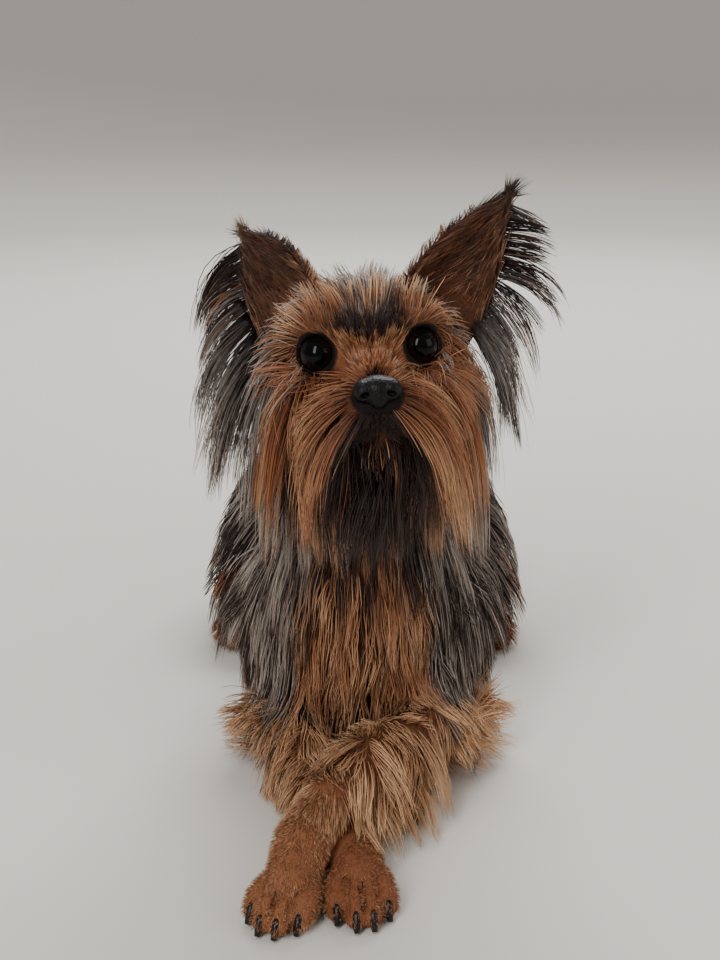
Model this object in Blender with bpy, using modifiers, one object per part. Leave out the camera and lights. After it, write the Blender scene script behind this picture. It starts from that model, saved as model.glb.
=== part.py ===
"""A life-size Yorkshire terrier, lying on its chest with its head up and its forelegs crossed.

Metres, +Z up. The dog faces -Y and its left side is +X. The origin is on the floor, under the middle
of the trunk, on the flat where the belly rests. Each named part of the body is one closed solid: a
core of flesh and undercoat, with the long coat fused on as flat, tapered locks.
"""

import math
import random
from typing import NamedTuple

import bmesh
import bpy
from mathutils import Euler, Matrix, Vector
from mathutils.bvhtree import BVHTree
from mathutils.geometry import intersect_point_line

# Trunk
CHEST_WIDTH = 0.074
CHEST_DEPTH = 0.086
LOIN_WIDTH = 0.066
LOIN_DEPTH = 0.080
BELLY_SINK = 0.0012

# Head, in its own frame: +X to its left, -Y to its nose, origin at the middle of the skull
SKULL_WIDTH = 0.058
SKULL_LENGTH = 0.062
SKULL_HEIGHT = 0.052
SKULL_PLACE = Vector((0.0, -0.078, 0.146))
HEAD_SIZE = 0.94
HEAD_TURN = Euler((math.radians(-11.0), math.radians(-3.8), math.radians(4.0)))
MUZZLE_LENGTH = 0.026
MUZZLE_WIDTH = 0.027
MUZZLE_DEPTH = 0.021
MOUTH_DROP = 0.0185
EYE_SPACING = 0.0325
EYE_RADIUS = 0.0070
EYE_PLACE = Vector((EYE_SPACING / 2, -0.0218, 0.0055))
EYE_FRONT = EYE_PLACE + Vector((0.0030, -0.0110, 0.0010))
SOCKET_RADIUS = 0.0058
SOCKET_DEPTH = 0.80
LID_RADIUS = 0.0012
LID_DEPTH = 0.50
LIP_RADIUS = 0.0024
MOUTH_GROOVE = 0.0009
NOSE_WIDTH = 0.0146
NOSE_PLACE = Vector((0.0, -0.0500, -0.0070))
NOSE_FRONT = Vector((0.0, -0.0080, 0.0))

# Ears
EAR_LENGTH = 0.044
EAR_WIDTH = 0.029
EAR_THICKNESS = 0.0020
EAR_ROOT = 0.30

# Legs
ELBOW_SPREAD = 0.0265
FOREARM_RADIUS = 0.0085
PAW_WIDTH = 0.0208
TOE_RADIUS = 0.0050
CLAW_LENGTH = 0.0075
THIGH_SPREAD = 0.040

# Coat
SEED = 7
UNDERCOAT = 0.0025
NECK_COAT_TOP = 0.127
FACE_COAT = 0.0008
GAP = 0.0003
LOCK_SINK = 0.0030
LOCK_SAG = 0.30
LOCK_KINK = 75.0
LIE_LEAST = 0.45
RISE_MOST = 0.55
VEIL_ROOM = 0.0105
LIFT_MOST = 0.0085
ROOT_MARGIN = 0.0030
ROOT_COVER = 0.0120
SHORT_LOCK = 0.0300
FLOOR_CLEARANCE = 0.0006
ROOT_TRIES = 4000
BEND_TRIES = 8
CROSSINGS_MOST = 3
HEAD_SOCKETS = ("neck", "eye_left", "eye_right", "nose")
COAT_ORDER = (
    "torso", "tail", "hindleg_left", "hindleg_right", "foreleg_right", "foreleg_left", "neck",
    "ear_left", "ear_right", "head",
)

DOWN = Vector((0.0, 0.0, -1.0))
HEAD = Matrix.LocRotScale(SKULL_PLACE, HEAD_TURN, Vector((HEAD_SIZE, HEAD_SIZE, HEAD_SIZE)))


class Ball(NamedTuple):
    """An ellipsoid: its centre, its three radii and its turn in degrees."""

    centre: tuple
    radii: tuple
    turn: tuple = (0.0, 0.0, 0.0)


class Limb(NamedTuple):
    """A round form along a bent line: the line's points and the radius at each."""

    points: tuple
    radii: tuple


class Zone(NamedTuple):
    """How the coat grows about one place: which way it lies, how long it is and how far it stands off.

    place and flow are given for the left side and mirrored to the right.
    """

    place: tuple
    flow: tuple
    length: float
    lift: float
    reach: float = 0.022


# Small helpers for meshes

def new_mesh_object(name, build, collection):
    """Makes an object whose mesh the function build fills."""
    mesh = bpy.data.meshes.new(name)
    shape = bmesh.new()
    build(shape)
    bmesh.ops.recalc_face_normals(shape, faces=shape.faces)
    shape.to_mesh(mesh)
    shape.free()
    obj = bpy.data.objects.new(name, mesh)
    collection.objects.link(obj)
    return obj


def evaluated_copy(obj, name, collection):
    """A plain mesh object of what obj looks like with its modifiers. obj itself is removed."""
    bpy.context.view_layer.update()
    graph = bpy.context.evaluated_depsgraph_get()
    mesh = bpy.data.meshes.new_from_object(obj.evaluated_get(graph))
    mesh.transform(obj.matrix_world)
    bpy.data.objects.remove(obj)
    mesh.name = name
    copy = bpy.data.objects.new(name, mesh)
    collection.objects.link(copy)
    return copy


def smooth_path(points, radii, pieces=5):
    """Points and radii along a Catmull-Rom curve through the given points."""
    line = [Vector(p) for p in points]
    line = [line[0] * 2 - line[1]] + line + [line[-1] * 2 - line[-2]]
    widths = [radii[0]] + list(radii) + [radii[-1]]
    found = []
    for i in range(1, len(line) - 2):
        last = i == len(line) - 3
        for k in range(pieces + (1 if last else 0)):
            t = k / pieces
            a, b, c, d = line[i - 1], line[i], line[i + 1], line[i + 2]
            place = 0.5 * (
                2 * b + (c - a) * t + (2 * a - 5 * b + 4 * c - d) * t**2 + (3 * b - a - 3 * c + d) * t**3
            )
            found.append((place, widths[i] + (widths[i + 1] - widths[i]) * t))
    return found


def add_ball(shape, ball, grow=0.0, rings=14):
    """Adds an ellipsoid to a bmesh, grown by a distance on every side."""
    turn = Euler([math.radians(a) for a in ball.turn])
    radii = Vector([r + grow for r in ball.radii])
    matrix = Matrix.LocRotScale(Vector(ball.centre), turn, radii)
    bmesh.ops.create_uvsphere(shape, u_segments=rings + 6, v_segments=rings, radius=1.0, matrix=matrix)


def add_limb(shape, limb, grow=0.0, sides=12):
    """Adds a limb to a bmesh as a tube with round ends, grown by a distance."""
    path = smooth_path(limb.points, limb.radii)
    rings = []
    for i, (place, radius) in enumerate(path):
        ahead = path[min(i + 1, len(path) - 1)][0] - path[max(i - 1, 0)][0]
        frame = ahead.to_track_quat("Z", "Y").to_matrix()
        ring = []
        for k in range(sides):
            angle = 2 * math.pi * k / sides
            offset = frame @ Vector((math.cos(angle), math.sin(angle), 0.0))
            ring.append(shape.verts.new(place + offset * (radius + grow)))
        rings.append(ring)
    for low, high in zip(rings, rings[1:]):
        for k in range(sides):
            shape.faces.new((low[k], low[(k + 1) % sides], high[(k + 1) % sides], high[k]))
    shape.faces.new(rings[0])
    shape.faces.new(rings[-1])
    for place, radius in (path[0], path[-1]):
        size = radius + grow
        add_ball(shape, Ball(tuple(place), (size, size, size)), rings=8)


def add_shapes(shape, pieces, grow=0.0):
    """Adds every ball and limb of a list to a bmesh."""
    for piece in pieces:
        if isinstance(piece, Ball):
            add_ball(shape, piece, grow)
        else:
            add_limb(shape, piece, grow)


def soft_form(name, pieces, collection, voxel, triangles, grow=0.0, rounding=6, place=None):
    """Melts overlapping balls and limbs into one smooth closed form of about the given triangle count."""
    obj = new_mesh_object(name, lambda shape: add_shapes(shape, pieces, grow), collection)
    if place is not None:
        obj.data.transform(place)
    remesh = obj.modifiers.new("Melt", "REMESH")
    remesh.mode = "VOXEL"
    remesh.voxel_size = voxel
    smooth = obj.modifiers.new("Smooth", "SMOOTH")
    smooth.factor = 0.5
    smooth.iterations = rounding
    melted = evaluated_copy(obj, name, collection)
    count = sum(len(p.vertices) - 2 for p in melted.data.polygons)
    thin = melted.modifiers.new("Thin", "DECIMATE")
    thin.ratio = min(1.0, triangles / count)
    return evaluated_copy(melted, name, collection)


def boolean(target, operation, others, collection, name=None):
    """Applies one Boolean of a collection of closed mesh objects to target, and removes those objects."""
    group = bpy.data.collections.new("operands")
    bpy.context.scene.collection.children.link(group)
    for other in others:
        for home in list(other.users_collection):
            home.objects.unlink(other)
        group.objects.link(other)
    modifier = target.modifiers.new("Join", "BOOLEAN")
    modifier.operation = operation
    modifier.solver = "MANIFOLD"
    modifier.operand_type = "COLLECTION"
    modifier.collection = group
    result = evaluated_copy(target, name or target.name, collection)
    for other in list(group.objects):
        bpy.data.objects.remove(other)
    bpy.data.collections.remove(group)
    return result


def volume_of(faces):
    """Signed volume inside a set of bmesh faces."""
    total = 0.0
    for face in faces:
        first = face.verts[0].co
        for a, b in zip(face.verts[1:], face.verts[2:]):
            total += first.dot(a.co.cross(b.co)) / 6
    return total


def keep_largest(obj):
    """Keeps only the largest closed surface of an object, which drops loose scraps and fills sealed hollows.

    Surfaces that touch only along an edge count as apart.
    """
    shape = bmesh.new()
    shape.from_mesh(obj.data)
    bmesh.ops.triangulate(shape, faces=shape.faces)
    unseen = set(shape.faces)
    groups = []
    while unseen:
        front = [unseen.pop()]
        group = list(front)
        while front:
            face = front.pop()
            for edge in face.edges:
                if len(edge.link_faces) != 2:
                    continue
                for other in edge.link_faces:
                    if other in unseen:
                        unseen.remove(other)
                        front.append(other)
                        group.append(other)
        groups.append(group)
    groups.sort(key=volume_of)
    lost = [face for group in groups[:-1] for face in group]
    bmesh.ops.delete(shape, geom=lost, context="FACES")
    shape.to_mesh(obj.data)
    shape.free()


def grown_copy(obj, distance, collection):
    """A copy of a closed mesh, moved out along its normals, to cut a neighbour clear of it."""
    copy = bpy.data.objects.new(obj.name + "_grown", obj.data.copy())
    collection.objects.link(copy)
    swell = copy.modifiers.new("Swell", "DISPLACE")
    swell.mid_level = 0.0
    swell.strength = distance
    return evaluated_copy(copy, obj.name + "_grown", collection)


def tree_of(obj):
    """A tree of an object's surface, for finding what is near or in the way."""
    shape = bmesh.new()
    shape.from_mesh(obj.data)
    tree = BVHTree.FromBMesh(shape)
    shape.free()
    return tree


# The body's forms

def trunk_shapes():
    """Ribcage, loin and croup of a dog lying on its chest."""
    half, deep = CHEST_WIDTH / 2, CHEST_DEPTH / 2
    loin, loin_deep = LOIN_WIDTH / 2, LOIN_DEPTH / 2
    return [
        Ball((0, -0.048, deep - BELLY_SINK), (half, 0.042, deep)),
        Ball((0, -0.012, deep - BELLY_SINK), (half, 0.052, deep)),
        Ball((0, 0.034, loin_deep - BELLY_SINK), (loin, 0.050, loin_deep)),
        Ball((0, 0.078, loin_deep * 0.98), (loin * 1.02, 0.040, loin_deep * 0.94)),
        Ball((0, -0.060, 0.066), (half * 0.82, 0.028, 0.026)),
    ]


def neck_shapes():
    """Neck rising from the withers and breast into the back of the skull."""
    return [Limb(((0, -0.046, 0.068), (0, -0.057, 0.096), (0, -0.063, 0.125)), (0.030, 0.0255, 0.0215))]


def skull_shapes():
    """Cranium, brow, cheeks, muzzle, lips and lower jaw, in the head's frame."""
    wide, long, high = SKULL_WIDTH / 2, SKULL_LENGTH / 2, SKULL_HEIGHT / 2
    muzzle_wide, muzzle_deep = MUZZLE_WIDTH / 2, MUZZLE_DEPTH / 2
    tip = -long * 0.78 - MUZZLE_LENGTH * 0.72
    shapes = [
        Ball((0, 0.001, 0.001), (wide, long, high)),
        Ball((0, -long * 0.52, 0.004), (wide * 0.80, long * 0.50, high * 0.72)),
        Ball((0, -0.032, -0.0105), (muzzle_wide, 0.015, muzzle_deep)),
        Ball((0, tip, -0.0120), (muzzle_wide * 0.74, 0.0095, muzzle_deep * 0.78)),
        Ball((0, -0.030, -0.0035), (0.0075, 0.016, 0.0065), (-14, 0, 0)),
        Ball((0, -0.024, -MOUTH_DROP - 0.0035), (0.0115, 0.0195, 0.0060), (4, 0, 0)),
    ]
    for side in (-1, 1):
        shapes += [
            Ball((side * 0.0190, -0.010, -0.0090), (0.0105, 0.0170, 0.0125)),
            Ball((side * 0.0150, -0.0215, 0.0125), (0.0085, 0.0075, 0.0065)),
            Ball((side * 0.0052, tip, -0.0142), (0.0060, 0.0086, 0.0068)),
            Ball((side * 0.0080, -0.034, -0.0145), (0.0064, 0.0120, 0.0075)),
        ]
    return shapes


FORE_PAWS = {1: ((-0.0215, -0.162, 0.0098), 22.0), -1: ((-0.0010, -0.1595, 0.0076), -8.0)}


def foreleg_shapes(side):
    """One foreleg: shoulder, upper arm, forearm and paw. The left one lies over the right at the wrist."""
    if side > 0:
        line = ((0.026, -0.066, 0.0150), (0.016, -0.096, 0.0190), (-0.004, -0.127, 0.0238), (-0.0190, -0.154, 0.0155))
    else:
        line = ((-0.027, -0.068, 0.0120), (-0.0200, -0.098, 0.0092), (-0.0100, -0.131, 0.0083), (-0.0035, -0.154, 0.0080))
    radii = (0.0125, 0.0098, FOREARM_RADIUS * 0.88, FOREARM_RADIUS * 0.92)
    upper = Limb(
        ((side * 0.0250, -0.054, 0.056), (side * 0.0270, -0.050, 0.034), (side * ELBOW_SPREAD, -0.060, 0.016)),
        (0.0170, 0.0150, 0.0130),
    )
    return [upper, Limb(line, radii)] + paw_shapes(*FORE_PAWS[side])


def paw_frame(place, turn):
    """The frame of a paw: its toes point along -Y before it turns about the vertical."""
    return Matrix.Translation(Vector(place)) @ Matrix.Rotation(math.radians(-turn), 4, "Z")


def toe_places():
    """Where the four toes of a paw end, across and along it, the middle two further out."""
    return [((i - 1.5) * PAW_WIDTH * 0.255, -0.0105 if i in (1, 2) else -0.0065) for i in range(4)]


def paw_shapes(place, turn):
    """A paw: its back and its four arched toes."""
    frame = paw_frame(place, turn)
    height = place[2]
    shapes = [
        Ball(tuple(frame @ Vector((0, 0.001, 0.0005))), (PAW_WIDTH * 0.42, 0.0125, min(height, 0.0088)), (0, 0, -turn))
    ]
    for across, along in toe_places():
        knuckle = frame @ Vector((across * 0.9, along + 0.003, 0.0))
        tip = frame @ Vector((across * 1.1, along - 0.0045, 0.0))
        knuckle.z = TOE_RADIUS + 0.0022
        tip.z = TOE_RADIUS * 0.86
        shapes.append(Limb((tuple(knuckle), tuple(tip)), (TOE_RADIUS * 0.92, TOE_RADIUS * 0.84)))
    return shapes


def hind_paw(side):
    """Place and turn of a hind paw."""
    return (side * THIGH_SPREAD * 1.31, 0.0395, 0.0078), -side * 6.0


def hindleg_shapes(side):
    """One folded hind leg: thigh, lower leg and foot laid along the floor."""
    x = side * THIGH_SPREAD
    thigh = Limb(((x * 0.72, 0.078, 0.048), (x * 0.98, 0.058, 0.036), (x * 1.18, 0.036, 0.024)), (0.027, 0.0225, 0.0145))
    shank = Limb(((x * 1.20, 0.038, 0.020), (x * 1.16, 0.066, 0.0135), (x * 1.12, 0.093, 0.0105)), (0.0135, 0.0100, 0.0080))
    foot = Limb(((x * 1.12, 0.093, 0.0085), (x * 1.22, 0.066, 0.0075), (x * 1.30, 0.044, 0.0078)), (0.0078, 0.0072, 0.0078))
    return [thigh, shank, foot] + paw_shapes(*hind_paw(side))


def tail_shapes():
    """A short tail, carried back from the croup."""
    return [Limb(((0, 0.104, 0.062), (0, 0.124, 0.064), (0, 0.146, 0.058), (0, 0.166, 0.047)), (0.0100, 0.0080, 0.0065, 0.0042))]


# How the coat lies, for the left side of each part. Head zones are in the head's frame.

COAT_ZONES = {
    "torso": [
        Zone((0.000, -0.090, 0.058), (0.06, -0.28, -1.0), 0.044, 16),
        Zone((0.030, -0.074, 0.052), (0.10, -0.15, -1.0), 0.046, 11),
        Zone((0.000, -0.030, 0.088), (0.90, 0.30, -0.20), 0.048, 8),
        Zone((0.036, -0.030, 0.056), (0.06, 0.25, -1.0), 0.048, 8, 0.026),
        Zone((0.000, 0.035, 0.083), (0.90, 0.35, -0.20), 0.052, 7),
        Zone((0.034, 0.030, 0.050), (0.08, 0.25, -1.0), 0.050, 9, 0.026),
        Zone((0.000, 0.088, 0.076), (0.70, 0.60, -0.40), 0.048, 9),
        Zone((0.034, 0.088, 0.048), (0.18, 0.45, -1.0), 0.044, 12, 0.026),
        Zone((0.000, 0.118, 0.045), (0.12, 0.35, -1.0), 0.036, 14),
    ],
    "neck": [
        Zone((0.000, -0.088, 0.098), (0.05, -0.28, -1.0), 0.058, 14),
        Zone((0.026, -0.064, 0.102), (0.16, 0.05, -1.0), 0.058, 9),
        Zone((0.000, -0.034, 0.108), (0.55, 0.55, -0.80), 0.046, 10),
    ],
    "head": [
        Zone((0.000, -0.004, 0.027), (0.40, 0.85, 0.05), 0.024, 8, 0.014),
        Zone((0.016, -0.022, 0.018), (0.80, 0.30, 0.55), 0.018, 22, 0.009),
        Zone((0.011, -0.040, -0.010), (0.90, -0.05, -0.85), 0.058, 18, 0.011),
        Zone((0.006, -0.047, -0.018), (0.50, -0.20, -1.0), 0.040, 20, 0.007),
        Zone((0.022, -0.018, -0.006), (0.60, 0.05, -1.0), 0.058, 14, 0.012),
        Zone((0.027, -0.004, 0.006), (0.45, 0.30, -0.90), 0.050, 14, 0.012),
        Zone((0.000, -0.036, -0.027), (0.05, -0.25, -1.0), 0.040, 18, 0.010),
        Zone((0.014, -0.014, -0.022), (0.20, -0.05, -1.0), 0.050, 14, 0.012),
        Zone((0.025, 0.014, 0.002), (0.35, 0.35, -1.0), 0.058, 14, 0.014),
        Zone((0.000, 0.028, 0.006), (0.30, 0.60, -0.90), 0.050, 14, 0.014),
    ],
    "foreleg": [
        Zone((0.032, -0.048, 0.045), (0.20, 0.10, -1.0), 0.032, 12),
        Zone((0.032, -0.066, 0.016), (0.95, -0.10, -0.20), 0.020, 14),
        Zone((0.006, -0.120, 0.018), (0.50, -0.80, -0.20), 0.024, 12),
    ],
    "hindleg": [
        Zone((0.045, 0.060, 0.040), (0.20, 0.40, -1.0), 0.034, 12, 0.030),
        Zone((0.050, 0.085, 0.012), (0.40, 0.90, -0.20), 0.022, 14, 0.016),
    ],
    "tail": [
        Zone((0.000, 0.120, 0.070), (0.45, 0.90, -0.40), 0.034, 16),
        Zone((0.000, 0.160, 0.045), (0.25, 0.90, -0.90), 0.040, 18),
    ],
}


class Lock(NamedTuple):
    """The size of a node's locks, how far apart they grow and how far they keep from other nodes."""

    spacing: float
    width: float
    thickness: float
    stand_off: float
    steps: int
    sink: float = LOCK_SINK


LOCKS = {
    "torso": Lock(0.0132, 0.0150, 0.0021, 0.0022, 3),
    "neck": Lock(0.0100, 0.0130, 0.0019, 0.0038, 3),
    "head": Lock(0.0096, 0.0096, 0.0016, 0.0042, 4),
    "foreleg": Lock(0.0180, 0.0100, 0.0015, 0.0026, 3),
    "hindleg": Lock(0.0160, 0.0135, 0.0017, 0.0025, 3),
    "tail": Lock(0.0108, 0.0100, 0.0017, 0.0025, 3),
    "ear": Lock(0.0, 0.0085, 0.0013, 0.0026, 3, 0.0),
}
LOCK_PROFILE = (0.62, 1.0, 0.85, 0.60)


def mirrored(vector, side):
    """A vector with its sideways part on the given side."""
    return Vector((vector[0] * side, vector[1], vector[2]))


def side_of(place):
    """1 on the dog's left and -1 on its right."""
    return 1.0 if place.x >= 0 else -1.0


def coat_at(part_name, place):
    """The lie, length and lift of the coat at a place on a part, blended from the zones near it."""
    flow, length, lift, total = Vector(), 0.0, 0.0, 0.0
    for zone in COAT_ZONES[part_name]:
        gap = (mirrored(zone.place, side_of(place)) - place).length / zone.reach
        weight = math.exp(-gap * gap) + 1e-9
        flow += mirrored(zone.flow, side_of(place)).normalized() * weight
        length += zone.length * weight
        lift += zone.lift * weight
        total += weight
    return flow.normalized(), length / total, math.radians(lift / total)


def is_coated(part_name, place, normal):
    """Whether long coat grows at a place: not on the face's front, the toes or what rests on the floor."""
    if part_name == "head":
        eye = mirrored(EYE_PLACE, side_of(place)) + gaze(side_of(place)) * EYE_RADIUS
        on_bridge = abs(place.x) < 0.0068 and place.y < -0.020 and place.z > -0.0170
        on_forehead = abs(place.x) < 0.0150 and place.y < -0.018 and place.z > 0.008
        on_face = place.y < -0.018 and -0.0060 < place.z < 0.0090
        return (place - eye).length > 0.0108 and not (on_bridge or on_forehead or on_face)
    if part_name == "foreleg":
        return place.y > -0.147 and normal.z > -0.3 and place.z > 0.006
    if part_name == "hindleg":
        return place.y > 0.050 and abs(place.x) > 0.034 and normal.z > -0.2 and place.z > 0.007
    if part_name == "torso":
        return place.z > 0.022 and normal.z > -0.45
    if part_name == "neck":
        return place.z < NECK_COAT_TOP
    return True


def spread_roots(obj, part_name, local, spacing, draw):
    """Places spread over the coated part of a surface, each with its normal, none near another."""
    shape = bmesh.new()
    shape.from_mesh(obj.data)
    bmesh.ops.triangulate(shape, faces=shape.faces)
    faces = list(shape.faces)
    areas = [face.calc_area() for face in faces]
    found = []
    for face in draw.choices(faces, areas, k=ROOT_TRIES):
        a, b = math.sqrt(draw.random()), draw.random()
        corners = [vert.co for vert in face.verts]
        place = corners[0] * (1 - a) + corners[1] * (a * (1 - b)) + corners[2] * (a * b)
        normal = face.normal.copy()
        if not is_coated(part_name, local @ place, local.to_3x3() @ normal):
            continue
        if all((place - other).length > spacing for other, _ in found):
            found.append((place, normal))
    shape.free()
    return found


# Locks

def lock_mesh(path, sides, backs, size, grow=0.0):
    """Corners and faces of a flat lock along a path: narrow at its root, widest near it, pointed at its tip."""
    corners, faces = [], []
    for i, place in enumerate(path[:-1]):
        share = LOCK_PROFILE[i]
        across = sides[i] * (size.width / 2 * share + grow)
        through = backs[i] * (size.thickness / 2 * math.sqrt(share) + grow)
        corners += [place + across, place + through, place - across, place - through]
    tip = len(corners)
    corners.append(path[-1] + (path[-1] - path[-2]).normalized() * grow)
    for i in range(len(path) - 2):
        for k in range(4):
            a, b = 4 * i + k, 4 * i + (k + 1) % 4
            faces.append((a, b, b + 4, a + 4))
    faces += [(tip - 4 + k, tip - 4 + (k + 1) % 4, tip) for k in range(4)]
    faces.append((3, 2, 1, 0))
    return corners, faces


def has_kink(path):
    """Whether a lock's path turns sharply anywhere above its root."""
    runs = [(b - a).normalized() for a, b in zip(path[1:], path[2:])]
    return any(math.degrees(a.angle(b, 0.0)) > LOCK_KINK for a, b in zip(runs, runs[1:]))


def strays(path, flow):
    """Whether a lock ends up off its lie, or stands up where the coat hangs."""
    run = (path[-1] - path[1]).normalized()
    return run.dot(flow) < LIE_LEAST or run.z - flow.z > RISE_MOST


def veils_face(path):
    """Whether a lock passes in front of an eye or the nose."""
    for spot in (EYE_FRONT, mirrored(EYE_FRONT, -1), NOSE_PLACE + NOSE_FRONT):
        place = HEAD @ spot
        for a, b in zip(path[1:], path[2:]):
            share = intersect_point_line(place, a, b)[1]
            if (a.lerp(b, min(max(share, 0.0), 1.0)) - place).length < VEIL_ROOM:
                return True
    return False


def section_frames(path, facings):
    """The ways across and through a flat lock at each point of its path."""
    sides, backs = [], []
    for i in range(len(path)):
        ahead = (path[min(i + 1, len(path) - 1)] - path[max(i - 1, 0)]).normalized()
        across = ahead.cross(facings[i])
        across = across.normalized() if across.length > 1e-6 else ahead.orthogonal().normalized()
        if sides and across.dot(sides[-1]) < 0:
            across = -across
        sides.append(across)
        backs.append(across.cross(ahead).normalized())
    return sides, backs


def lock_object(shape, collection):
    """One lock as a closed mesh object."""
    def build(solid):
        verts = [solid.verts.new(corner) for corner in shape[0]]
        for face in shape[1]:
            solid.faces.new([verts[i] for i in face])

    return new_mesh_object("lock", build, collection)


def box_of(corners):
    """The lowest and highest corner of some points."""
    return [min(c[i] for c in corners) for i in range(3)], [max(c[i] for c in corners) for i in range(3)]


def boxes_meet(first, second, room=0.0):
    """Whether two boxes come within a distance of each other."""
    return all(first[0][i] <= second[1][i] + room and second[0][i] <= first[1][i] + room for i in range(3))


class Comber:
    """Lays locks over the cores one by one, each over those laid before it and clear of the other nodes."""

    def __init__(self, cores):
        """cores maps each node's name to its core object."""
        self.cores = {name: tree_of(obj) for name, obj in cores.items()}
        self.placed = {name: [] for name in cores}

    def pushed(self, names, place, room):
        """A place moved out of the named cores to the given room from them, and the nearest one's normal."""
        out, nearest = None, 1.0
        for name in names:
            spot, normal, _, gap = self.cores[name].find_nearest(place, 0.05)
            if spot is None:
                continue
            signed = gap if (place - spot).dot(normal) >= 0 else -gap
            if signed < room:
                place = spot + normal * room
                signed = room
            if signed < nearest:
                out, nearest = normal, signed
        return place, out

    def is_open(self, node, place, normal):
        """Whether a place on a node's surface stands free of every other core and isn't covered by one."""
        for name, core in self.cores.items():
            if name == node:
                continue
            if core.find_nearest(place, ROOT_MARGIN)[0] is not None:
                return False
            if core.ray_cast(place, normal, ROOT_COVER)[0] is not None:
                return False
        return True

    def raised(self, node, place, out, size):
        """A place raised along out until it lies over every lock that is already there."""
        rise = 0.0
        start = place + out * LIFT_MOST
        spot_box = box_of([place, start])
        for owner, locks in self.placed.items():
            room = size.thickness / 2 + (0.0002 if owner == node else 0.0012)
            for tree, box in locks:
                if boxes_meet(spot_box, box, room):
                    hit = tree.ray_cast(start, -out, LIFT_MOST + room)[0]
                    if hit is not None:
                        rise = max(rise, (hit - place).dot(out) + room)
        return place + out * min(rise, LIFT_MOST)

    def bend(self, node, root, normal, flow, length, lift, size, stand_off):
        """The points of a lock, from below the skin to its tip, and the way each of them faces."""
        others = [name for name in self.cores if name != node]
        lie = flow - normal * flow.dot(normal)
        lie = lie.normalized() if lie.length > 1e-6 else normal.orthogonal().normalized()
        heading = (lie * math.cos(lift) + normal * math.sin(lift)).normalized()
        path, backs = [root - normal * size.sink], [normal.copy()]
        place = root.copy()
        for i in range(1, size.steps + 1):
            heading = (heading + DOWN * (LOCK_SAG * i * 3 / size.steps)).normalized()
            place = place + heading * (length / size.steps)
            place, out = self.pushed([node], place, size.thickness / 2 + 0.0009 * i)
            place, other_out = self.pushed(others, place, stand_off)
            facing = out or other_out or backs[-1]
            facing = (facing + backs[-1]).normalized()
            place = self.raised(node, place, facing, size)
            place.z = max(place.z, FLOOR_CLEARANCE + size.thickness)
            heading = (place - path[-1]).normalized()
            path.append(place.copy())
            backs.append(facing)
        return path, backs

    def lay(self, node, root, normal, flow, length, lift, size):
        """One lock, bent until it is clear of the other nodes and crosses few of its own, or None."""
        best, fewest = None, CROSSINGS_MOST + 1
        for attempt in range(BEND_TRIES):
            path, facings = self.bend(
                node, root, normal, flow, length * (1 - 0.05 * attempt),
                lift + math.radians(6 * attempt), size, size.stand_off + 0.0012 * attempt,
            )
            if has_kink(path) or strays(path, flow) or veils_face(path):
                continue
            sides, backs = section_frames(path, facings)
            guard = lock_mesh(path, sides, backs, size, GAP)
            fence = BVHTree.FromPolygons(*guard)
            box = box_of(guard[0])
            if box[0][2] < FLOOR_CLEARANCE - GAP or not self.is_clear(node, fence, box):
                continue
            crossings = sum(boxes_meet(box, other) and bool(fence.overlap(tree)) for tree, other in self.placed[node])
            if crossings < fewest:
                best, fewest = (fence, box, lock_mesh(path, sides, backs, size)), crossings
            if fewest == 0:
                break
        if best is None:
            return None
        self.placed[node].append(best[:2])
        return best[2]

    def is_clear(self, node, fence, box):
        """Whether a lock's fence touches no core and no lock of another node."""
        for other, core in self.cores.items():
            if other == node:
                continue
            if fence.overlap(core):
                return False
            if any(boxes_meet(box, placed) and fence.overlap(tree) for tree, placed in self.placed[other]):
                return False
        return True


def coat_locks(node, part_name, core, comber, draw, collection):
    """A node's locks, laid from the lowest up so that each lies over those below it."""
    size = LOCKS[part_name]
    local = HEAD.inverted() if part_name == "head" else Matrix.Identity(4)
    strands = []
    for root, normal in spread_roots(core, part_name, local, size.spacing, draw):
        if not comber.is_open(node, root, normal):
            continue
        flow, length, lift = coat_at(part_name, local @ root)
        flow = (local.inverted().to_3x3() @ flow).normalized()
        strands.append((root.dot(flow), root, normal, flow, length * draw.uniform(0.86, 1.12), lift))
    locks = []
    for _, root, normal, flow, length, lift in sorted(strands, key=lambda strand: -strand[0]):
        cut = size if length > SHORT_LOCK else size._replace(steps=size.steps - 1)
        shape = comber.lay(node, root, normal, flow, length, lift * draw.uniform(0.8, 1.3), cut)
        if shape:
            locks.append(lock_object(shape, collection))
    return locks


# Details of the head

def gaze(side):
    """The way an eye looks, in the head's frame."""
    return Vector((side * 0.30, -1.0, 0.06)).normalized()


def eye_ball(side, collection):
    """One eyeball."""
    place = HEAD @ mirrored(EYE_PLACE, side)
    name = "eye_left" if side > 0 else "eye_right"
    ball = Ball(tuple(place), (EYE_RADIUS,) * 3)
    return new_mesh_object(name, lambda shape: add_ball(shape, ball, rings=7), collection)


def lid_ring(side, collection):
    """The rim of the lids round one eye."""
    centre = HEAD @ (mirrored(EYE_PLACE, side) + gaze(side) * EYE_RADIUS * LID_DEPTH)
    turn = (HEAD.to_3x3() @ gaze(side)).to_track_quat("Z", "Y").to_euler()
    bpy.ops.mesh.primitive_torus_add(
        major_radius=EYE_RADIUS * math.sqrt(1 - LID_DEPTH**2), minor_radius=LID_RADIUS,
        major_segments=14, minor_segments=5, location=centre, rotation=turn,
    )
    return evaluated_copy(bpy.context.object, "lid", collection)


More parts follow.
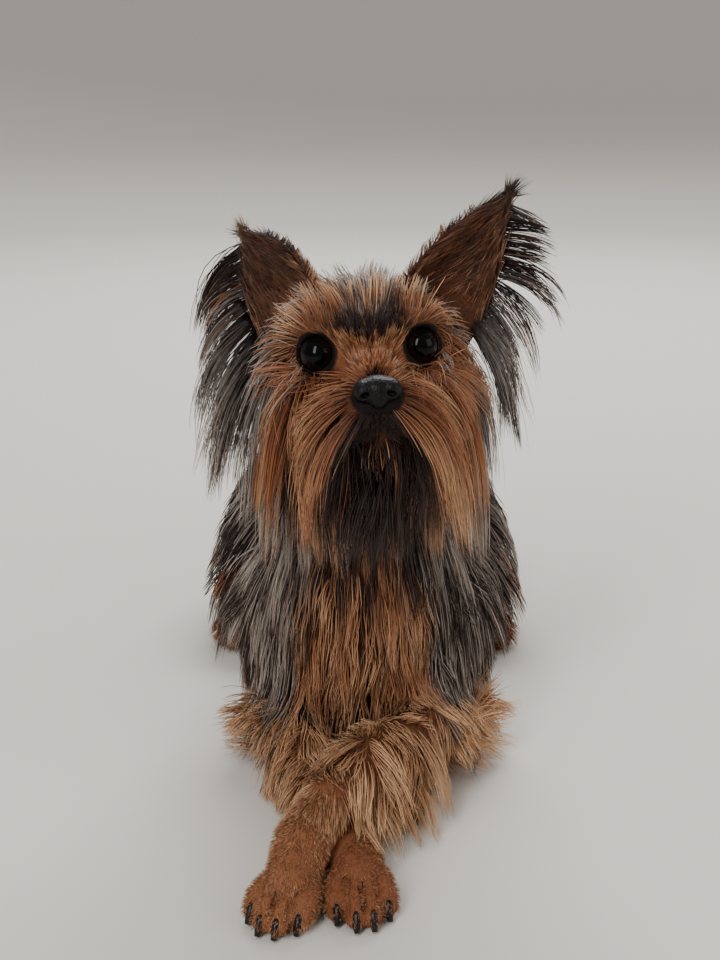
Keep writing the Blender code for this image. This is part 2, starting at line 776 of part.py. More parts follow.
def mouth_line(head, drop):
    """Points round the muzzle at a drop below the skull's middle, from one corner of the mouth to the other."""
    tree = tree_of(head)
    found = []
    for angle in range(-100, 101, 25):
        turn = math.radians(angle)
        start = HEAD @ Vector((0.0, -0.032, -drop - 0.0030 * (1 - math.cos(turn))))
        spot = tree.ray_cast(start, HEAD.to_3x3() @ Vector((math.sin(turn), -math.cos(turn), 0.0)))[0]
        if spot is not None:
            found.append(tuple(spot))
    return found


def add_rod(shape, limb, sides=5):
    """Adds a thin rod with narrowed ends to a bmesh."""
    path = smooth_path(limb.points, limb.radii, 1)
    rings = []
    for i, (place, radius) in enumerate(path):
        ahead = path[min(i + 1, len(path) - 1)][0] - path[max(i - 1, 0)][0]
        frame = ahead.to_track_quat("Z", "Y").to_matrix() * (radius * (0.35 if i in (0, len(path) - 1) else 1.0))
        angles = [2 * math.pi * k / sides for k in range(sides)]
        rings.append([shape.verts.new(place + frame @ Vector((math.cos(a), math.sin(a), 0))) for a in angles])
    for low, high in zip(rings, rings[1:]):
        for k in range(sides):
            shape.faces.new((low[k], low[(k + 1) % sides], high[(k + 1) % sides], high[k]))
    shape.faces.new(rings[0])
    shape.faces.new(rings[-1])


def rod(name, points, radii, collection):
    """A thin rod through some points."""
    return new_mesh_object(name, lambda shape: add_rod(shape, Limb(tuple(points), tuple(radii))), collection)


def socket(side, collection):
    """What is cut away in front of an eye, so that all of its front shows between the lids."""
    centre = HEAD @ (mirrored(EYE_PLACE, side) + gaze(side) * EYE_RADIUS * SOCKET_DEPTH)
    ball = Ball(tuple(centre), (SOCKET_RADIUS,) * 3)
    return new_mesh_object("socket", lambda shape: add_ball(shape, ball, rings=6), collection)


def finished_head(skull, cutters, collection):
    """The head with its lids, lips and mouth line, cut clear of the eyes and the nose."""
    skull = boolean(skull, "DIFFERENCE", [socket(side, collection) for side in (-1, 1)], collection)
    additions = [lid_ring(side, collection) for side in (-1, 1)]
    line = mouth_line(skull, MOUTH_DROP)
    additions.append(rod("lips", line, [LIP_RADIUS] * len(line), collection))
    head = boolean(skull, "UNION", additions, collection)
    line = mouth_line(head, MOUTH_DROP)
    groove = rod("groove", line, [MOUTH_GROOVE] * len(line), collection)
    head = boolean(head, "DIFFERENCE", [groove], collection)
    return cut_by(head, cutters, collection)


def nose_pad(collection):
    """The nose leather, with its two nostrils."""
    half = NOSE_WIDTH / 2
    shapes = [
        Ball((0, 0.0010, 0.0006), (half * 0.90, 0.0062, 0.0056)),
        Ball((0, -0.0010, -0.0030), (0.0040, 0.0044, 0.0036)),
    ]
    place = HEAD @ Matrix.Translation(NOSE_PLACE)
    nostrils = []
    for side in (-1, 1):
        shapes.append(Ball((side * half * 0.62, -0.0010, -0.0006), (half * 0.42, 0.0044, 0.0042)))
        hole = Ball((side * 0.0043, -0.0058, -0.0006), (0.0018, 0.0030, 0.0013), (0, side * 24, side * 20))
        cutter = new_mesh_object("nostril", lambda shape, hole=hole: add_ball(shape, hole, rings=5), collection)
        cutter.data.transform(place)
        nostrils.append(cutter)
    nose = soft_form("nose", shapes, collection, 0.0007, 200, rounding=3, place=place)
    return boolean(nose, "DIFFERENCE", nostrils, collection)


# Ears

class EarStance(NamedTuple):
    """How an ear is carried, in the head's frame: its base, the way to its tip and the way its cup faces."""

    base: Vector
    up: Vector
    face: Vector
    fringe: float


EAR_STANCE = {
    1: EarStance(Vector((0.0292, -0.002, 0.0205)), Vector((0.56, 0.02, 0.82)), Vector((0.35, -1.0, 0.05)), 0.042),
    -1: EarStance(Vector((-0.0262, 0.001, 0.0195)), Vector((-0.41, 0.46, 0.78)), Vector((-0.50, -0.85, -0.20)), 0.056),
}


def ear_frame(side):
    """An ear's base and its three unit directions: to the tip, across and the way the cup faces."""
    stance = EAR_STANCE[side]
    up = stance.up.normalized()
    face = (stance.face - up * stance.face.dot(up)).normalized()
    return stance.base, up, up.cross(face), face


def ear_point(side, across, along):
    """A place on the ear's sheet in the head's frame: across from -1 to 1, along from 0 at the base to 1."""
    base, up, wide, face = ear_frame(side)
    inward = max(along, 0.0)
    half = EAR_WIDTH / 2 * max(1 - inward**1.7, 0.0) ** 0.9 + 0.0012
    curl = math.radians(82 - 52 * inward)
    bow = half / math.sin(curl)
    hollow = bow * (math.cos(across * curl) - math.cos(curl))
    return base + up * (EAR_LENGTH * along) + wide * (bow * math.sin(across * curl)) - face * hollow


def ear_shell(side, collection):
    """One ear: a thin pointed sheet curled into a cup that is rooted in the skull."""
    columns, rows = 8, 6

    def build(shape):
        grid = []
        for j in range(rows):
            along = -EAR_ROOT + (1 + EAR_ROOT) * j / (rows - 1)
            grid.append([shape.verts.new(HEAD @ ear_point(side, 2 * i / (columns - 1) - 1, along)) for i in range(columns)])
        for low, high in zip(grid, grid[1:]):
            for i in range(columns - 1):
                shape.faces.new((low[i], low[i + 1], high[i + 1], high[i]))

    name = "ear_left" if side > 0 else "ear_right"
    sheet = new_mesh_object(name, build, collection)
    wall = sheet.modifiers.new("Thickness", "SOLIDIFY")
    wall.thickness = EAR_THICKNESS
    wall.offset = 0.0
    return evaluated_copy(sheet, name, collection)


def fringe_locks(side, node, comber, draw, collection):
    """The long hair that hangs from the edges and the back of an ear."""
    turn = HEAD.to_3x3()
    _, up, wide, face = (turn @ part for part in ear_frame(side))
    outer = 1 if wide.x * side > 0 else -1
    rows = (
        [(outer * 0.84, 0.16 + 0.155 * k, 1.0 - 0.06 * k) for k in range(6)]
        + [(outer * 0.30, 0.25 + 0.24 * k, 0.85) for k in range(3)]
        + [(-outer * 0.78, 0.48 + 0.30 * k, 0.5) for k in range(2)]
    )
    locks = []
    for across, along, share in rows:
        root = HEAD @ ear_point(side, across, along)
        outward = wide * across - face * 0.45
        normal = (-face + wide * across * 0.5).normalized()
        flow = (outward * 0.8 + Vector((side * 0.4, 0.20, 0.0)) + up * 0.10).normalized()
        length = EAR_STANCE[side].fringe * share * draw.uniform(0.9, 1.12)
        shape = comber.lay(node, root, normal, flow, length, math.radians(6), LOCKS["ear"])
        if shape:
            locks.append(lock_object(shape, collection))
    return locks


# Paws and the floor

def claws(place, turn, collection):
    """The four claws of one paw, rooted in its toes."""
    frame = paw_frame(place, turn)
    made = []
    for across, along in toe_places():
        start = frame @ Vector((across * 1.1, along - TOE_RADIUS * 0.9, 0.0))
        tip = frame @ Vector((across * 1.18, along - TOE_RADIUS * 0.9 - CLAW_LENGTH, 0.0))
        start.z, tip.z = TOE_RADIUS * 1.1, 0.0013
        middle = start.lerp(tip, 0.55) + Vector((0, 0, 0.0012))
        made.append(rod("claw", (start, middle, tip), (0.0015, 0.0013, 0.0010), collection))
    return made


def floor_block(collection):
    """A block that fills everything under the floor."""
    bpy.ops.mesh.primitive_cube_add(size=1.0, location=(0, 0, -0.5))
    return evaluated_copy(bpy.context.object, "floor", collection)


def cut_by(target, others, collection):
    """Cuts a node clear of its neighbours by the gap that touching nodes keep, and keeps its largest body."""
    result = boolean(target, "DIFFERENCE", [grown_copy(other, GAP, collection) for other in others], collection)
    keep_largest(result)
    return result


def paint(obj, colour, roughness):
    """Gives a node its own plain material."""
    material = bpy.data.materials.new(obj.name)
    material.use_nodes = True
    shader = material.node_tree.nodes["Principled BSDF"]
    shader.inputs["Base Color"].default_value = (*colour, 1.0)
    shader.inputs["Roughness"].default_value = roughness
    shader.inputs["Metallic"].default_value = 0.0
    obj.data.materials.clear()
    obj.data.materials.append(material)


BLUE_GREY = (0.075, 0.070, 0.075)
TAN = (0.300, 0.150, 0.070)
DARK_BROWN = (0.085, 0.045, 0.035)
BLACK = (0.010, 0.008, 0.008)
FINISHES = {
    "torso": (BLUE_GREY, 0.6), "neck": (BLUE_GREY, 0.6), "tail": (BLUE_GREY, 0.6), "head": (TAN, 0.6),
    "foreleg": (TAN, 0.6), "hindleg": (TAN, 0.6), "ear": (DARK_BROWN, 0.6), "eye": (BLACK, 0.1), "nose": (BLACK, 0.35),
}


def make_cores(dog):
    """Every node as flesh and undercoat, each cut clear of what it grows from."""
    nodes = {
        "torso": soft_form("torso", trunk_shapes(), dog, 0.0030, 640, UNDERCOAT, 16),
        "head": soft_form("head", skull_shapes(), dog, 0.0013, 800, FACE_COAT, place=HEAD),
        "neck": soft_form("neck", neck_shapes(), dog, 0.0030, 200, UNDERCOAT),
        "tail": soft_form("tail", tail_shapes(), dog, 0.0020, 110, UNDERCOAT),
        "nose": nose_pad(dog),
    }
    for side, word in ((1, "left"), (-1, "right")):
        nodes["eye_" + word] = eye_ball(side, dog)
        nodes["ear_" + word] = ear_shell(side, dog)
        foreleg = soft_form("foreleg_" + word, foreleg_shapes(side), dog, 0.0015, 400, FACE_COAT, 4)
        nodes["foreleg_" + word] = boolean(foreleg, "UNION", claws(*FORE_PAWS[side], dog), dog)
        hindleg = soft_form("hindleg_" + word, hindleg_shapes(side), dog, 0.0015, 360, FACE_COAT, 5)
        nodes["hindleg_" + word] = boolean(hindleg, "UNION", claws(*hind_paw(side), dog), dog)
    nodes["neck"] = cut_by(nodes["neck"], [nodes["torso"]], dog)
    nodes["head"] = finished_head(nodes["head"], [nodes[name] for name in HEAD_SOCKETS], dog)
    nodes["tail"] = cut_by(nodes["tail"], [nodes["torso"]], dog)
    for word in ("left", "right"):
        nodes["ear_" + word] = cut_by(nodes["ear_" + word], [nodes["head"]], dog)
        nodes["foreleg_" + word] = cut_by(nodes["foreleg_" + word], [nodes["torso"], nodes["neck"]], dog)
        nodes["hindleg_" + word] = cut_by(nodes["hindleg_" + word], [nodes["torso"]], dog)
    nodes["foreleg_left"] = cut_by(nodes["foreleg_left"], [nodes["foreleg_right"]], dog)
    for name in ("torso", "foreleg_left", "foreleg_right", "hindleg_left", "hindleg_right"):
        nodes[name] = boolean(nodes[name], "DIFFERENCE", [floor_block(dog)], dog)
    return nodes


def main():
    """Builds the dog."""
    for obj in list(bpy.data.objects):
        bpy.data.objects.remove(obj, do_unlink=True)
    dog = bpy.data.collections.new("yorkshire_terrier")
    bpy.context.scene.collection.children.link(dog)
    nodes = make_cores(dog)
    comber = Comber(nodes)
    draw = random.Random(SEED)
    for name in COAT_ORDER:
        if name.startswith("ear"):
            locks = fringe_locks(1 if name == "ear_left" else -1, name, comber, draw, dog)
        else:
            locks = coat_locks(name, name.split("_")[0], nodes[name], comber, draw, dog)
        nodes[name] = boolean(nodes[name], "UNION", locks, dog)
        keep_largest(nodes[name])
    for name, obj in nodes.items():
        paint(obj, *FINISHES[name.split("_")[0]])


if __name__ == "__main__":
    main()
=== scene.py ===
"""The look of a life-size Yorkshire terrier that lies with its head up and its forelegs crossed.

One seamless skin replaces the flesh of the frame's solids, and combed hair replaces their locks. The
skin and the hair read the same tables of how the coat lies and how it is marked. Metres, +Z up; the dog
faces -Y and its left side is +X. Where a side is given, 1 is the dog's left and -1 its right.
"""

import logging
import math
from dataclasses import dataclass, field, replace
from enum import Enum
from typing import NamedTuple, Sequence

import bpy
import numpy as np
from bpy.types import Material, Node, NodeSocket, NodeTree, Object
from mathutils import Euler, Matrix, Vector
from mathutils.kdtree import KDTree

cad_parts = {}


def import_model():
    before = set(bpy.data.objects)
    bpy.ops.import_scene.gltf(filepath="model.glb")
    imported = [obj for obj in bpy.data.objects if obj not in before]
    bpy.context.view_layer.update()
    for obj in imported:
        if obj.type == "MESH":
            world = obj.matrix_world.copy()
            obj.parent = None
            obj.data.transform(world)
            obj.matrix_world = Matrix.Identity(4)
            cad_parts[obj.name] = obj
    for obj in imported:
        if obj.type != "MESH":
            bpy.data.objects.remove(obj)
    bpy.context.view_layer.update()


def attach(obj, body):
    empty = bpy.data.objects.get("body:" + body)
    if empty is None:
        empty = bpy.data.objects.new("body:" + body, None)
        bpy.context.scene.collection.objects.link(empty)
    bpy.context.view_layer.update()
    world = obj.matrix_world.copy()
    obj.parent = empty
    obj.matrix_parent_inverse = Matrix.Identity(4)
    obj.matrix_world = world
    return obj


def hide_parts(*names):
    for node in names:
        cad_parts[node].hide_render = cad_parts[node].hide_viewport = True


LOG = logging.getLogger("terrier")
Array = np.ndarray
Triple = tuple[float, float, float]
Stops = tuple[tuple[float, str], ...]

# Distances further than this aren't worked out, and no hair lies nearer to the floor than its room.
FAR = 0.02
FLOOR_ROOM = 0.0006
SKIN_SLOT = "face_coat"


# Small helpers

def span_of(vectors: Array) -> Array:
    """The length of each of some vectors."""
    return np.linalg.norm(vectors, axis=-1)


def unit(vectors: Array) -> Array:
    """Vectors scaled to length one."""
    return vectors / np.maximum(np.linalg.norm(vectors, axis=-1, keepdims=True), 1e-9)


def side_of(places: Array) -> Array:
    """1 for places on the dog's left and -1 on its right."""
    return np.where(places[:, 0] >= 0, 1.0, -1.0)


def smooth_step(low: float, high: float, values: Array) -> Array:
    """0 below low, 1 above high, with a smooth rise between."""
    share = np.clip((values - low) / (high - low), 0.0, 1.0)
    return share * share * (3 - 2 * share)


def side_word(side: int) -> str:
    """The word for a side in a piece's name."""
    return "left" if side > 0 else "right"


def matrix_of(matrix: Matrix) -> Array:
    """A mathutils matrix as an array."""
    return np.array(matrix, float)


def moved(matrix: Matrix, places: Array) -> Array:
    """Places, three to a row, taken through a 4 by 4 matrix."""
    turn = matrix_of(matrix)
    return places @ turn[:3, :3].T + turn[:3, 3]


def linear(hex_colour: str) -> tuple[float, float, float, float]:
    """An sRGB hex colour as the linear colour that a shader takes."""
    values = [int(hex_colour[i:i + 2], 16) / 255 for i in (1, 3, 5)]
    return (*[v / 12.92 if v <= 0.04045 else ((v + 0.055) / 1.055) ** 2.4 for v in values], 1.0)


def new_mesh(name: str, corners: Array, faces: Array) -> Object:
    """Makes a mesh object of triangles or quads, shaded smooth.

    Args:
        name: the object's name.
        corners: places, three to a row.
        faces: corner numbers, three or four to a row.

    Returns:
        The object, linked to the scene.
    """
    mesh = bpy.data.meshes.new(name)
    count, sides = faces.shape
    mesh.vertices.add(len(corners))
    mesh.vertices.foreach_set("co", corners.astype(np.float32).ravel())
    mesh.loops.add(count * sides)
    mesh.loops.foreach_set("vertex_index", faces.astype(np.int32).ravel())
    mesh.polygons.add(count)
    mesh.polygons.foreach_set("loop_start", np.arange(0, count * sides, sides, dtype=np.int32))
    mesh.update(calc_edges=True)
    mesh.validate()
    mesh.shade_smooth()
    obj = bpy.data.objects.new(name, mesh)
    bpy.context.scene.collection.objects.link(obj)
    return obj


def tube_walls(rings: int, sides: int, first: int = 0, turned: bool = False) -> list[tuple[int, int, int]]:
    """The walls between rings of corners that follow each other.

    Args:
        rings: how many rings there are.
        sides: how many corners each has.
        first: the number of the first corner.
        turned: whether the walls face the other way.

    Returns:
        The triangles.
    """
    faces = []
    for i in range(rings - 1):
        for k in range(sides):
            a, b = first + i * sides + k, first + i * sides + (k + 1) % sides
            if turned:
                faces += [(a, a + sides, b + sides), (a, b + sides, b)]
            else:
                faces += [(a, b, b + sides), (a, b + sides, a + sides)]
    return faces


def give_values(obj: Object, values: dict[str, Array]) -> None:
    """Stores one number a corner under each name, for the materials to read.

    Args:
        obj: the mesh object.
        values: for each name, the numbers.
    """
    for name, numbers in values.items():
        layer = obj.data.attributes.new(name, "FLOAT", "POINT")
        layer.data.foreach_set("value", numbers.astype(np.float32))


# Forms of the body

@dataclass(frozen=True)
class Ball:
    """An ellipsoid: its centre, its three radii and its turn in degrees."""

    centre: Triple
    radii: Triple
    turn: Triple = (0.0, 0.0, 0.0)

    def box(self) -> tuple[Array, Array]:
        """The lowest and highest corner of a box round it."""
        reach = max(self.radii)
        return np.array(self.centre) - reach, np.array(self.centre) + reach

    def distance(self, places: Array) -> Array:
        """How far places are from its surface.

        Args:
            places: where to measure.

        Returns:
            The distances, less than nothing inside.
        """
        turn = matrix_of(Euler([math.radians(a) for a in self.turn]).to_matrix())
        local = (places - np.array(self.centre)) @ turn
        near = span_of(local / self.radii)
        slope = span_of(local / np.square(self.radii))
        return np.where(near < 1e-3, -min(self.radii), near * (near - 1) / np.maximum(slope, 1e-9))


@dataclass(frozen=True)
class Limb:
    """A round form along a bent line: the line's points and the radius at each."""

    points: tuple[Triple, ...]
    radii: tuple[float, ...]
    pieces: int = 5

    def path(self) -> tuple[Array, Array]:
        """A smooth curve through its points.

        Returns:
            Places along the curve and the radius at each.
        """
        line = np.array(self.points, float)
        line = np.vstack([2 * line[0] - line[1], line, 2 * line[-1] - line[-2]])
        places, widths = [], []
        for i in range(1, len(line) - 2):
            a, b, c, d = line[i - 1:i + 3]
            square, cube = 2 * a - 5 * b + 4 * c - d, 3 * b - a - 3 * c + d
            first, last = self.radii[i - 1], self.radii[min(i, len(self.radii) - 1)]
            for k in range(self.pieces + (i == len(line) - 3)):
                t = k / self.pieces
                bend = 2 * b + (c - a) * t + square * t**2 + cube * t**3
                places.append(bend / 2)
                widths.append(first + (last - first) * t)
        return np.array(places), np.array(widths)

    def box(self) -> tuple[Array, Array]:
        """The lowest and highest corner of a box round it."""
        places, _ = self.path()
        return places.min(0) - max(self.radii), places.max(0) + max(self.radii)

    def distance(self, places: Array) -> Array:
        """How far places are from its surface.

        Args:
            places: where to measure.

        Returns:
            The distances, less than nothing inside.
        """
        line, widths = self.path()
        nearest = np.full(places.shape[:-1], 1e3)
        for a, b, first, last in zip(line, line[1:], widths, widths[1:]):
            run = b - a
            share = np.clip(((places - a) @ run) / max(run @ run, 1e-12), 0.0, 1.0)
            gap = span_of(places - a - share[..., None] * run)
            nearest = np.minimum(nearest, gap - (first + (last - first) * share))
        return nearest


@dataclass(frozen=True)
class Placed:
    """A form given in another frame, such as the head's, with that frame's matrix and size."""

    form: Ball | Limb
    frame: Matrix

    def box(self) -> tuple[Array, Array]:
        """A box round it in the frame of the whole dog.

        Returns:
            Its lowest and its highest corner.
        """
        low, high = self.form.box()
        corners = np.array([[(low, high)[k >> i & 1][i] for i in range(3)] for k in range(8)])
        corners = moved(self.frame, corners)
        return corners.min(0), corners.max(0)

    def distance(self, places: Array) -> Array:
        """How far places are from its surface, less than nothing inside."""
        return self.form.distance(moved(self.frame.inverted(), places)) * self.frame.median_scale


Form = Ball | Limb | Placed


# Sizes of the body, as in the solids

CHEST_WIDTH, CHEST_DEPTH = 0.074, 0.086
LOIN_WIDTH, LOIN_DEPTH = 0.066, 0.08
BELLY_SINK = 0.0012
SKULL_WIDTH, SKULL_LENGTH, SKULL_HEIGHT = 0.058, 0.062, 0.052
SKULL_PLACE = Vector((0.0, -0.078, 0.146))
HEAD_SIZE = 0.94
HEAD_TURN = Euler((math.radians(-11.0), math.radians(-3.8), math.radians(4.0)))
HEAD = Matrix.LocRotScale(SKULL_PLACE, HEAD_TURN, Vector((HEAD_SIZE,) * 3))
MUZZLE_LENGTH, MUZZLE_WIDTH, MUZZLE_DEPTH = 0.026, 0.027, 0.021
MOUTH_DROP = 0.0185
EYE_RADIUS = 0.007
EYE_PLACE = (0.01625, -0.0218, 0.0055)
EYE_GAZE = (0.3, -1.0, 0.06)
NOSE_WIDTH = 0.0146
NOSE_PLACE = (0.0, -0.05, -0.007)
EAR_LENGTH, EAR_WIDTH, EAR_THICKNESS, EAR_ROOT = 0.044, 0.029, 0.0016, 0.3
ELBOW_SPREAD = 0.0265
FOREARM_RADIUS = 0.0085
PAW_WIDTH, TOE_RADIUS, TOE_SPREAD, CLAW_LENGTH = 0.0184, 0.0044, 0.0044, 0.0052
THIGH_SPREAD = 0.04
FORE_PAWS = {1: ((-0.0215, -0.162, 0.0098), 22.0), -1: ((-0.003, -0.158, 0.0076), -8.0)}


class Part(Enum):
    """The parts of the body, each with its own lie of coat."""

    TORSO = "torso"
    NECK = "neck"
    HEAD = "head"
    FORELEG_LEFT = "foreleg_left"
    FORELEG_RIGHT = "foreleg_right"
    HINDLEG = "hindleg"
    TAIL = "tail"


def hind_paw(side: int) -> tuple[Triple, float]:
    """Place and turn of a hind paw."""
    return (side * THIGH_SPREAD * 1.31, 0.0395, 0.0078), -side * 6.0


def paw_frame(place: Sequence[float], turn: float) -> Matrix:
    """The frame of a paw: its toes point along -Y before it turns about the vertical."""
    return Matrix.Translation(Vector(place)) @ Matrix.Rotation(math.radians(-turn), 4, "Z")


def sided(place: Triple, side: float) -> Vector:
    """A place or direction given for the left, taken to a side."""
    return Vector((place[0] * side, *place[1:]))


def eye_pose(side: int) -> tuple[Vector, Vector]:
    """The middle of an eyeball and the way it looks."""
    return HEAD @ sided(EYE_PLACE, side), (HEAD.to_3x3() @ sided(EYE_GAZE, side)).normalized()


def toe_places() -> list[tuple[float, float]]:
    """Where the four toes of a paw end, across and along it, the middle two further out."""
    return [((i - 1.5) * TOE_SPREAD, -0.011 if i in (1, 2) else -0.0068) for i in range(4)]


@dataclass
class Anatomy:
    """The forms of flesh that the skin is drawn over, and how far they melt into each other."""

    melt: float = 0.006
    face_melt: float = 0.003
    paw_melt: float = 0.001

    def trunk(self) -> list[Form]:
        """The trunk of a dog lying on its chest.

        Returns:
            Ribcage, loin, croup and breast.
        """
        half, deep = CHEST_WIDTH / 2, CHEST_DEPTH / 2
        loin, loin_deep = LOIN_WIDTH / 2, LOIN_DEPTH / 2
        return [
            Ball((0, -0.048, deep - BELLY_SINK), (half, 0.042, deep)),
            Ball((0, -0.012, deep - BELLY_SINK), (half, 0.052, deep)),
            Ball((0, 0.034, loin_deep - BELLY_SINK), (loin, 0.05, loin_deep)),
            Ball((0, 0.078, loin_deep * 0.98), (loin * 1.02, 0.04, loin_deep * 0.94)),
            Ball((0, -0.06, 0.066), (half * 0.82, 0.028, 0.026)),
        ]

    def neck(self) -> list[Form]:
        """Neck rising from the withers and breast into the back of the skull."""
        return [Limb(((0, -0.046, 0.068), (0, -0.057, 0.096), (0, -0.063, 0.125)), (0.03, 0.0255, 0.0215))]

    def head(self) -> list[Form]:
        """The head, muzzle and all.

        Returns:
            Cranium, brow, muzzle, jaw, cheeks and lips.
        """
        wide, long, high = SKULL_WIDTH / 2, SKULL_LENGTH / 2, SKULL_HEIGHT / 2
        muzzle_wide, muzzle_deep = MUZZLE_WIDTH / 2, MUZZLE_DEPTH / 2
        tip = -long * 0.78 - MUZZLE_LENGTH * 0.72
        forms = [
            Ball((0, 0.001, 0.001), (wide, long, high)),
            Ball((0, -long * 0.52, 0.004), (wide * 0.8, long * 0.5, high * 0.72)),
            Ball((0, -0.032, -0.0105), (muzzle_wide, 0.015, muzzle_deep)),
            Ball((0, tip, -0.012), (muzzle_wide * 0.74, 0.0095, muzzle_deep * 0.78)),
            Ball((0, -0.03, -0.0035), (0.0075, 0.016, 0.0065), (-14, 0, 0)),
            Ball((0, -0.024, -MOUTH_DROP - 0.0035), (0.0115, 0.0195, 0.006), (4, 0, 0)),
        ]
        for side in (-1, 1):
            forms += [
                Ball((side * 0.019, -0.01, -0.009), (0.0105, 0.017, 0.0125)),
                Ball((side * 0.015, -0.0215, 0.0125), (0.0085, 0.0075, 0.0065)),
                Ball((side * 0.0052, tip, -0.0142), (0.006, 0.0086, 0.0068)),
                Ball((side * 0.008, -0.034, -0.0145), (0.0064, 0.012, 0.0075)),
            ]
        return [Placed(form, HEAD) for form in forms]

    def foreleg(self, side: int) -> list[Form]:
        """One foreleg down to its paw. The left one lies over the right at the wrist.

        Args:
            side: the side.

        Returns:
            The upper arm and the forearm.
        """
        if side > 0:
            line = (
                (0.026, -0.066, 0.015), (0.016, -0.096, 0.019),
                (-0.004, -0.127, 0.0238), (-0.019, -0.154, 0.0155),
            )
        else:
            line = (
                (-0.027, -0.068, 0.012), (-0.02, -0.098, 0.0092),
                (-0.01, -0.131, 0.0083), (-0.0035, -0.154, 0.008),
            )
        shoulder = (
            (side * 0.025, -0.054, 0.056), (side * 0.027, -0.05, 0.034),
            (side * ELBOW_SPREAD, -0.06, 0.016),
        )
        return [
            Limb(shoulder, (0.017, 0.015, 0.013)),
            Limb(line, (0.0125, 0.0098, FOREARM_RADIUS * 0.88, FOREARM_RADIUS * 0.92)),
        ]

    def hindleg(self, side: int) -> list[Form]:
        """One folded hind leg, with its foot laid along the floor.

        Args:
            side: the side.

        Returns:
            The thigh, the lower leg and the foot.
        """
        x = side * THIGH_SPREAD
        thigh = (x * 0.72, 0.078, 0.048), (x * 0.98, 0.058, 0.036), (x * 1.18, 0.036, 0.024)
        shank = (x * 1.2, 0.038, 0.02), (x * 1.16, 0.066, 0.0135), (x * 1.12, 0.093, 0.0105)
        foot = (x * 1.12, 0.093, 0.0085), (x * 1.22, 0.066, 0.0075), (x * 1.3, 0.044, 0.0078)
        return [
            Limb(thigh, (0.027, 0.0225, 0.0145)),
            Limb(shank, (0.0135, 0.01, 0.008)),
            Limb(foot, (0.0078, 0.0072, 0.0078)),
        ]

    def paw(self, place: Sequence[float], turn: float) -> list[Form]:
        """A paw with four arched toes.

        Args:
            place: its middle.
            turn: its turn about the vertical, in degrees.

        Returns:
            The paw's back and its toes.
        """
        frame = paw_frame(place, turn)
        back = frame @ Vector((0, 0.001, 0.0005))
        size = (PAW_WIDTH * 0.41, 0.0122, min(place[2], 0.0086))
        forms: list[Form] = [Ball(tuple(back), size, (0, 0, -turn))]
        for across, along in toe_places():
            knuckle = frame @ Vector((across * 0.9, along + 0.004, 0.0))
            middle = frame @ Vector((across * 1.05, along - 0.0015, 0.0))
            tip = frame @ Vector((across * 1.1, along - 0.0052, 0.0))
            knuckle.z, middle.z, tip.z = TOE_RADIUS + 0.0026, TOE_RADIUS + 0.0014, TOE_RADIUS * 0.8
            forms.append(Limb((tuple(knuckle), tuple(middle), tuple(tip)), (0.0038, 0.0039, 0.0033)))
        return forms

    def tail(self) -> list[Form]:
        """A short tail, carried back from the croup."""
        line = ((0, 0.104, 0.062), (0, 0.124, 0.064), (0, 0.146, 0.058), (0, 0.166, 0.047))
        return [Limb(line, (0.01, 0.008, 0.0065, 0.0042))]

    def parts(self) -> dict[Part, list[Form]]:
        """Every form, listed by the part of the body that it belongs to."""
        return {
            Part.TORSO: self.trunk(),
            Part.NECK: self.neck(),
            Part.HEAD: self.head(),
            Part.FORELEG_LEFT: self.foreleg(1) + self.paw(*FORE_PAWS[1]),
            Part.FORELEG_RIGHT: self.foreleg(-1) + self.paw(*FORE_PAWS[-1]),
            Part.HINDLEG: [f for side in (1, -1) for f in self.hindleg(side) + self.paw(*hind_paw(side))],
            Part.TAIL: self.tail(),
        }


# The body as a field of distances, and the skin drawn on it

